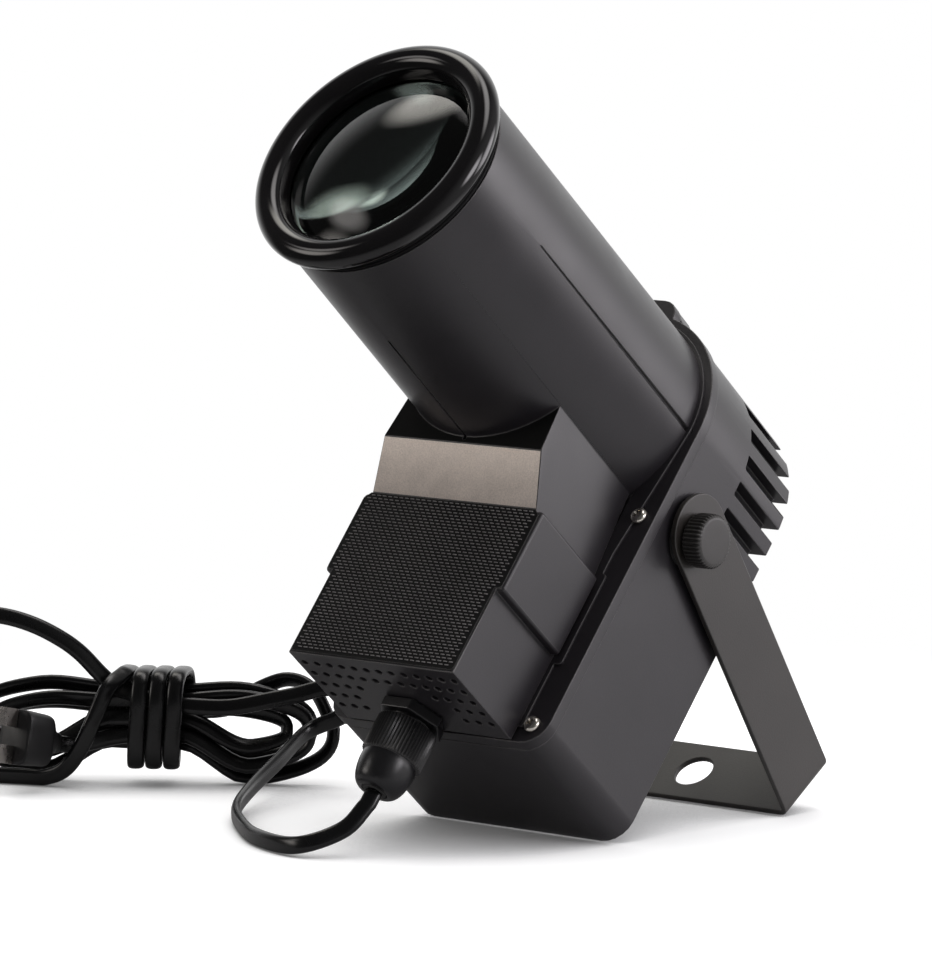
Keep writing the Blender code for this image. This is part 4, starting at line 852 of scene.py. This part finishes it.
def build_plug(looks):
    """Moulded plug body that swells from the cord to its face."""
    sections = [
        (0.0, 0.0022, 0.0034), (0.0030, 0.0027, 0.0040), (0.0060, 0.0044, 0.0050), (0.0080, 0.0053, 0.0072),
        (0.0098, 0.0060, 0.0088), (0.0150, 0.0062, 0.0092), (PLUG_LENGTH - 0.0012, 0.0064, 0.0095),
        (PLUG_LENGTH - 0.0003, 0.0060, 0.0091), (PLUG_LENGTH, 0.0054, 0.0085),
    ]
    rings = []
    for along, half_thickness, half_height in smooth_sections(sections, 5):
        ring = []
        for i in range(PLUG_SIDES):
            angle = TAU * i / PLUG_SIDES
            across = flattened(math.cos(angle), PLUG_SQUARENESS) * half_thickness
            up = flattened(math.sin(angle), PLUG_SQUARENESS) * half_height
            ring.append(plug_place((PLUG_GAP + along, across, up)))
        rings.append(ring)
    bm = bmesh.new()
    loft(bm, rings)
    return add_piece("moulded_plug", bm, Matrix.Identity(4), looks["plug"], "lamp",
                     ["plug_body"], 45.0)


# Housing pieces

def build_front(looks):
    """Front shell with mould grooves, vent holes, rounded edges and a bore darkened with painted shade."""
    shell = add_to_lamp("front_shell", copy_of("front_housing", LAMP), looks["housing"],
                        ["front_housing"])
    cut_away(shell, joined(mould_grooves()), LAMP)
    cut_away(shell, joined(vent_holes()), LAMP)
    round_edges(shell, 0.00035)
    shade_bore(shell.data, looks["bore"])


def shade_bore(mesh, look):
    """Near-black on the barrel's inner wall, as seen through the lens: painted shade, darker than the
    housing's own black.
    """
    mesh.materials.append(look)
    to_lamp = LAMP.inverted()
    for face in mesh.polygons:
        centre = to_lamp @ face.center
        if centre.y > -BORE_START or math.hypot(centre.x, centre.z) > BARREL_TIP_RADIUS - BORE_DEPTH:
            continue
        inward = -Vector((centre.x, 0.0, centre.z))
        if (to_lamp.to_3x3() @ face.normal).dot(inward) > 0.0:
            face.material_index = 1


def mould_grooves():
    """Four shallow wedges along the barrel, deepest towards the flange."""
    wedges = []
    for turn, far, near in GROOVES:
        rings = []
        for y, radius, (depth, half) in ((-far, BARREL_TIP_RADIUS, GROOVE_THIN),
                                         (-near, BARREL_ROOT_RADIUS, GROOVE_WIDE)):
            rim = radius + GROOVE_RIM
            bed = radius + GROOVE_LIFT - depth
            rings.append([(half, y, rim), (half, y, bed), (-half, y, bed), (-half, y, rim)])
        bm = bmesh.new()
        loft(bm, rings)
        bmesh.ops.rotate(bm, verts=bm.verts, matrix=Matrix.Rotation(math.radians(turn + 90.0), 3, "Y"))
        wedges.append(bm)
    return wedges


def vent_holes():
    """Rows of small holes through the floor of the driver box."""
    holes = []
    for row, start in enumerate(VENT_ROW_STARTS):
        y = VENT_ROW_PITCH * row - VENT_FIRST_ROW
        for k in range(-VENT_COLUMNS, VENT_COLUMNS + 1):
            x = k * VENT_PITCH
            if abs(x) < start:
                continue
            bm = bmesh.new()
            bmesh.ops.create_cone(bm, cap_ends=True, segments=16, radius1=VENT_RADIUS, radius2=VENT_RADIUS,
                                  depth=VENT_CUT_LENGTH)
            bmesh.ops.translate(bm, verts=bm.verts, vec=(x, y, -HOUSING_DROP + VENT_CUT_LIFT))
            holes.append(bm)
    return holes


def build_foot_step(looks):
    """The low step where the barrel and box meet the flange."""
    left = [(-0.0375, -0.0500), (-0.0375, -0.0585)]
    left += arc((-0.0378, -0.0600), STEP_CORNER_RADIUS, 90.0, 180.0, 5)
    left += arc((-0.0378, -0.0930), STEP_CORNER_RADIUS, 180.0, 270.0, 5)
    left += [(-0.0364, -0.0944), (-0.0364, -0.1190)]
    outline = arc((0.0, 0.0), STEP_RADIUS, 0.0, 180.0, 60) + left + [(-x, z) for x, z in reversed(left)]
    form = prism(outline, -STEP_PROUD, STEP_SUNK)
    step = add_to_lamp("foot_step", form, looks["housing"])
    bore = [(0.0, -STEP_CUT), (STEP_BORE_RADIUS, -STEP_CUT), (STEP_BORE_RADIUS, STEP_CUT), (0.0, STEP_CUT)]
    cut_away(step, lathe(bore, 96), LAMP)
    half, (low, high) = STEP_BAY_HALF_WIDTH, STEP_BAY_ENDS
    bay = [(-half, low), (half, low), (half, high), (-half, high)]
    cut_away(step, prism(bay, -STEP_CUT, STEP_CUT), LAMP)
    round_edges(step, 0.0002)


def panel_point(x, height, rise):
    """A point on the driver box's textured front face, raised along its normal."""
    share = (height - BOX_SILL[1]) / (BOX_FOOT[1] - BOX_SILL[1])
    ahead = BOX_SILL[0] + (BOX_FOOT[0] - BOX_SILL[0]) * share
    return Vector((x, -ahead - rise, height))


def build_panel(looks):
    """Thin raised plate on the box's front with rows of staggered dashes: the plate's near-black is painted
    shade and the dashes' pale tone painted highlight, on one black plastic.
    """
    top = BOX_SILL[1] - 0.0002
    low = BOX_FOOT[1] + 0.0008
    wide = BELT_HALF_WIDTH - 0.0009
    slim = BOX_SILL[2] - 0.0005
    belt = BELT_BOTTOM + 0.0006
    outline = [(-wide + 0.0022, top), (-wide, top - 0.0022), (-wide, belt + 0.0010), (-wide + 0.0010, belt)]
    outline += [(-slim, belt), (-slim, low + 0.0008), (-slim + 0.0008, low)]
    outline += [(-x, z) for x, z in reversed(outline)]
    plate = bmesh.new()
    loft(plate, [[panel_point(x, z, rise) for x, z in outline] for rise in (0.00005, PANEL_PROUD)])
    add_to_lamp("panel_plate", plate, looks["panel_shaded"])
    foot = rectangle(DASH_HALF_LENGTH, DASH_HALF_WIDTH)
    crown = rectangle(DASH_HALF_LENGTH * DASH_TAPER[0], DASH_HALF_WIDTH * DASH_TAPER[1])
    levels = ((foot, PANEL_PROUD - DASH_ROOT), (crown, PANEL_PROUD + DASH_RISE))
    dashes = bmesh.new()
    for row in range(int((top - low - DASH_MARGIN) / DASH_ROW_PITCH)):
        height = top - DASH_FIRST_ROW - row * DASH_ROW_PITCH
        half = (wide if height > belt + 0.0006 else slim) - DASH_MARGIN
        shift = 0.5 if row % 2 else 0.0
        count = int(half / DASH_PITCH)
        for k in range(-count - 1, count + 2):
            x = (k + shift) * DASH_PITCH
            if abs(x) + DASH_HALF_LENGTH > half:
                continue
            loft(dashes, [[panel_point(x + a, height + b, rise) for a, b in ring] for ring, rise in levels])
    add_to_lamp("panel_dashes", dashes, looks["dash_lit"], (), 20.0)


def build_brow_reflection(looks):
    """Thin pale metallic plate on the face between the box's shoulder and its textured front: its silver
    colour is painted reflection, as the face is black plastic mirroring a soft box.
    """
    high = Vector((0.0, -BOX_BROW[0], BOX_BROW[1]))
    low = Vector((0.0, -BOX_SILL[0], BOX_SILL[1]))
    outward = Vector((0.0, low.z - high.z, low.y - high.y)).normalized()
    ring = []
    for share, half, sides in ((BROW_SPAN[0], BOX_BROW[2], (-1, 1)), (BROW_SPAN[1], BOX_SILL[2], (1, -1))):
        ring += [high.lerp(low, share) + Vector((side * (half - BROW_INSET), 0.0, 0.0)) for side in sides]
    bm = bmesh.new()
    loft(bm, [[point + outward * rise for point in ring] for rise in BROW_RISE])
    add_to_lamp("brow_reflection_plate", bm, looks["brow_reflection"])


def build_rear(looks):
    shell = add_to_lamp("rear_shell", copy_of("rear_housing", LAMP), looks["housing"],
                        ["rear_housing"])
    round_edges(shell, 0.00045)


def build_bezel(looks):
    """Gloss ring with a rounded lip and a spigot into the barrel."""
    bezel = [(BEZEL_APERTURE, -LENS_EDGE_FRONT), (BEZEL_APERTURE, -LENS_EDGE_FRONT - 0.0012)]
    for k in range(BEZEL_LIP_STEPS + 1):
        angle = math.radians(BEZEL_LIP_SWEEP * (1.0 - k / BEZEL_LIP_STEPS))
        radius = BEZEL_LIP_MIDDLE[0] + BEZEL_LIP_HALF[0] * math.cos(angle)
        bezel.append((radius, -BEZEL_LIP_MIDDLE[1] - BEZEL_LIP_HALF[1] * math.sin(angle)))
    bezel += [(0.0440, -BEZEL_BACK - 0.0012), (0.0437, -BEZEL_BACK - 0.0005), (0.0429, -BEZEL_BACK)]
    bezel += [(SPIGOT_RADIUS, -BEZEL_BACK), (SPIGOT_RADIUS, -SPIGOT_BACK)]
    bezel += [(SPIGOT_BORE_RADIUS, -SPIGOT_BACK), (SPIGOT_BORE_RADIUS, -LENS_EDGE_FRONT)]
    add_to_lamp("bezel", lathe(bezel, BEZEL_SIDES), looks["bezel"], ["bezel_ring"], 50.0)


def build_gasket(looks):
    """Ribbed rubber ring between the barrel's end and the bezel."""
    bore = SPIGOT_RADIUS + 0.0005
    back = BARREL_LENGTH + GASKET_GAP
    front = BEZEL_BACK - GASKET_GAP
    steps = GASKET_RIBS * 8
    gasket = [(bore, -back)]
    for k in range(steps + 1):
        share = k / steps
        swell = GASKET_RIB_HEIGHT * abs(math.sin(math.pi * GASKET_RIBS * share)) ** 0.5
        gasket.append((GASKET_RADIUS + swell, -back - (front - back) * share))
    gasket.append((bore, -front))
    # The gasket takes the bore look: its own black rubber darkened further as painted shade in its groove
    add_to_lamp("ribbed_gasket", lathe(gasket, GASKET_SIDES), looks["bore"], ["lens_gasket"], 60.0)


def build_lens(looks):
    """Plano-convex lens with a fine edge and a domed front."""
    edge = LENS_EDGE_FRONT - LENS_CHAMFER
    centre = edge - math.sqrt(LENS_CURVE_RADIUS ** 2 - LENS_DOME_RADIUS ** 2)
    lens = [(0.0, -LENS_EDGE_BACK), (0.0340, -LENS_EDGE_BACK), (LENS_RADIUS - LENS_CHAMFER, -LENS_EDGE_BACK)]
    lens += [(LENS_RADIUS, -LENS_EDGE_BACK - LENS_CHAMFER), (LENS_RADIUS, -edge + LENS_CHAMFER)]
    lens.append((LENS_RADIUS - LENS_CHAMFER, -edge))
    for k in range(LENS_DOME_STEPS, 0, -1):
        radius = LENS_DOME_RADIUS * k / LENS_DOME_STEPS
        lens.append((radius, -centre - math.sqrt(LENS_CURVE_RADIUS ** 2 - radius ** 2)))
    lens.append((0.0, -centre - LENS_CURVE_RADIUS))
    add_to_lamp("lens", lathe(lens, LENS_SIDES), looks["glass"], ["front_lens"], 30.0)


def build_screws(looks):
    """Pan-head cross screws."""
    rings = [[(a, y, b) for a, b in rectangle(reach, half)] for y, reach, half in SCREW_RECESS]
    for name, (x, z, turn) in SCREW_PLACES.items():
        place = LAMP @ Matrix.Translation((x, 0.0, z)) @ Matrix.Rotation(math.radians(turn), 4, "Y")
        screw = add_piece("screw_" + name, lathe(SCREW_PROFILE, SCREW_SIDES), place, looks["chrome"], "lamp",
                          ["flange_screw_" + name], 40.0)
        for quarter in (0.0, 90.0):
            arm = bmesh.new()
            loft(arm, rings)
            cut_away(screw, arm, place @ Matrix.Rotation(math.radians(quarter), 4, "Y"))
        screw.data.shade_smooth()
        screw.data.set_sharp_from_angle(angle=math.radians(35.0))


def build_yoke(looks):
    """The yoke with eased edges and its two thumb knobs."""
    yoke = add_piece("yoke_bar", copy_of("yoke", YOKE), YOKE, looks["yoke"], "yoke", ["yoke"])
    round_edges(yoke, 0.0004)
    for side, sign in (("left", -1), ("right", 1)):
        knob = add_piece("knob_head_" + side, knurled_knob(sign), YOKE, looks["knob"], "knob_" + side,
                         ["thumb_knob_" + side], 30.0)
        round_edges(knob, 0.00012, 1, 40.0)


def knurled_knob(side):
    """Knob with straight teeth, rounded rims and a flat face."""
    sides = 4 * KNOB_TEETH
    rings = []
    for tooth, valley, distance in KNOB_ROWS:
        ring = []
        for i in range(sides):
            radius = tooth if i % 4 in (0, 1) else valley
            angle = TAU * i / sides
            ring.append((side * (KNOB_BASE + distance), radius * math.cos(angle), radius * math.sin(angle)))
        rings.append(ring)
    bm = bmesh.new()
    loft(bm, rings)
    return bm


def build_gland(looks):
    """Gland body with rounded hexagon, and a ribbed dome nut."""
    body = add_to_lamp("gland_hexagon", copy_of("gland_body", LAMP), looks["gland"],
                       ["gland_body"])
    round_edges(body, 0.0004)
    dome = []
    for k in range(NUT_DOME_STEPS + 1):
        angle = math.radians(90.0 * k / NUT_DOME_STEPS)
        radius = NUT_MOUTH_RADIUS + NUT_DOME_REACH * math.cos(angle) ** NUT_DOME_FULLNESS
        dome.append((radius, NUT_DOME_TOP - NUT_DOME_DEPTH * math.sin(angle), 0.0))
    sides = 4 * NUT_RIBS
    rings = []
    for radius, z, rib in NUT_GRIP + dome + NUT_INSIDE:
        ring = []
        for i in range(sides):
            angle = TAU * i / sides
            reach = radius + (rib, 0.0, -rib, 0.0)[i % 4]
            ring.append((reach * math.cos(angle), GLAND_Y + reach * math.sin(angle), z))
        rings.append(ring)
    bm = bmesh.new()
    loft(bm, rings, closed=True, caps=False)
    add_to_lamp("ribbed_nut", bm, looks["gland"], ["gland_nut"], 40.0)


def dress_nodes(looks):
    """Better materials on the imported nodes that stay."""
    for look, names in INNER_LOOKS.items():
        for name in names:
            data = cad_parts[name].data
            data.materials.clear()
            data.materials.append(looks[look])


# Studio

def room_level(nodes, place, floor=False):
    """How bright reflections see the room in a direction. Floor near the object isn't behind it."""
    way = nodes.vector("NORMALIZE", place)
    back = nodes.vector("DOT_PRODUCT", way, BACKDROP_WAY)
    right = nodes.vector("DOT_PRODUCT", way, RIGHT_WAY)
    white = nodes.span(back, *BACK_EDGE, high=BACK_ROOM, smooth=True)
    if floor:
        reach = nodes.span(nodes.vector("LENGTH", place), *FLOOR_REACH, smooth=True)
        white = nodes.math("MULTIPLY", white, reach)
    both = nodes.math("ADD", white, nodes.span(right, *RIGHT_EDGE, high=RIGHT_ROOM, smooth=True))
    return nodes.math("ADD", both, DIM_ROOM)


def stage_look():
    """White for the camera and in reflections, with the object's soft shadow kept close to it."""
    look = bpy.data.materials.new("white_sweep")
    look.use_nodes = True
    look.node_tree.nodes.clear()
    nodes = Nodes(look.node_tree)
    place = nodes.add("ShaderNodeTexCoord").outputs["Object"]
    path = nodes.add("ShaderNodeLightPath").outputs
    room = nodes.math("MULTIPLY", nodes.seen_in_mirrors(path), room_level(nodes, place, floor=True))
    seen = nodes.math("MAXIMUM", path["Is Camera Ray"], room)
    open_sky = nodes.add("ShaderNodeAmbientOcclusion", {"Distance": SHADE_REACH}, samples=6)
    shade = nodes.span(open_sky.outputs["AO"], *SHADE_EDGE, low=SHADE_DARKEST)
    paint = nodes.add("ShaderNodeBsdfDiffuse", {"Color": FLOOR_PAINT})
    glow = nodes.add("ShaderNodeEmission", {"Strength": nodes.math("MULTIPLY", seen, shade)})
    near = nodes.add("ShaderNodeAddShader", {0: paint.outputs[0], 1: glow.outputs[0]})
    far = nodes.add("ShaderNodeEmission", {"Strength": seen})
    fade = nodes.span(nodes.vector("LENGTH", place), *SWEEP_FADE, smooth=True)
    mix = nodes.add("ShaderNodeMixShader", {0: fade, 1: near.outputs[0], 2: far.outputs[0]})
    nodes.add("ShaderNodeOutputMaterial", {"Surface": mix.outputs[0]})
    return look


def build_stage():
    """A wide white floor under the object."""
    bm = bmesh.new()
    corners = rectangle(FLOOR_HALF_SIZE, FLOOR_HALF_SIZE)
    bm.faces.new([bm.verts.new((x, y, FLOOR_HEIGHT)) for x, y in corners])
    mesh = bpy.data.meshes.new("floor")
    bm.to_mesh(mesh)
    bm.free()
    floor = bpy.data.objects.new("floor", mesh)
    mesh.materials.append(stage_look())
    bpy.context.scene.collection.objects.link(floor)


def soft_box(name, way, distance, size, radiance, colour):
    """A lamp seen from the object in a direction, brightest in its middle and fading to its edge."""
    data = bpy.data.lights.new(name, "AREA")
    data.shape = "RECTANGLE"
    data.size, data.size_y = size
    data.energy = radiance * math.pi * size[0] * size[1]
    data.color = colour
    data.use_nodes = True
    nodes = Nodes(data.node_tree)
    place = nodes.add("ShaderNodeTexCoord").outputs["UV"]
    reach = nodes.vector("LENGTH", nodes.vector("SUBTRACT", place, (0.5, 0.5, 0.0)))
    fade = nodes.span(reach, *SOFT_BOX_FADE, low=1.0, high=0.0, smooth=True)
    data.node_tree.links.new(fade, data.node_tree.nodes["Emission"].inputs["Strength"])
    lamp = bpy.data.objects.new(name, data)
    stand = SOFT_BOX_TARGET + Vector(way).normalized() * distance
    aim = (SOFT_BOX_TARGET - stand).to_track_quat("-Z", "Y").to_matrix().to_4x4()
    lamp.matrix_world = Matrix.Translation(stand) @ aim
    bpy.context.scene.collection.objects.link(lamp)


def build_world():
    """White for the camera, even for soft light, and the room's levels in reflections."""
    world = bpy.data.worlds.new("studio")
    bpy.context.scene.world = world
    world.use_nodes = True
    nodes = Nodes(world.node_tree)
    path = nodes.add("ShaderNodeLightPath").outputs
    level = room_level(nodes, nodes.add("ShaderNodeTexCoord").outputs["Generated"])
    soft = nodes.add("ShaderNodeMix", {"Factor": nodes.seen_in_mirrors(path), "A": SOFT_LEVEL, "B": level})
    share = {"Factor": path["Is Camera Ray"], "A": soft.outputs["Result"], "B": 1.0}
    whole = nodes.add("ShaderNodeMix", share)
    back = world.node_tree.nodes["Background"]
    back.inputs["Color"].default_value = (1.0, 1.0, 1.0, 1.0)
    world.node_tree.links.new(whole.outputs["Result"], back.inputs["Strength"])


def build_studio():
    bpy.context.scene.view_settings.view_transform = "Standard"
    build_world()
    for name, values in SOFT_BOXES.items():
        soft_box(name, *values)


def main():
    camera()
    looks = make_looks()
    build_cords(looks)
    build_front(looks)
    build_foot_step(looks)
    build_panel(looks)
    build_brow_reflection(looks)
    build_rear(looks)
    build_bezel(looks)
    build_gasket(looks)
    build_lens(looks)
    build_screws(looks)
    build_yoke(looks)
    build_gland(looks)
    dress_nodes(looks)
    build_stage()
    build_studio()


main()
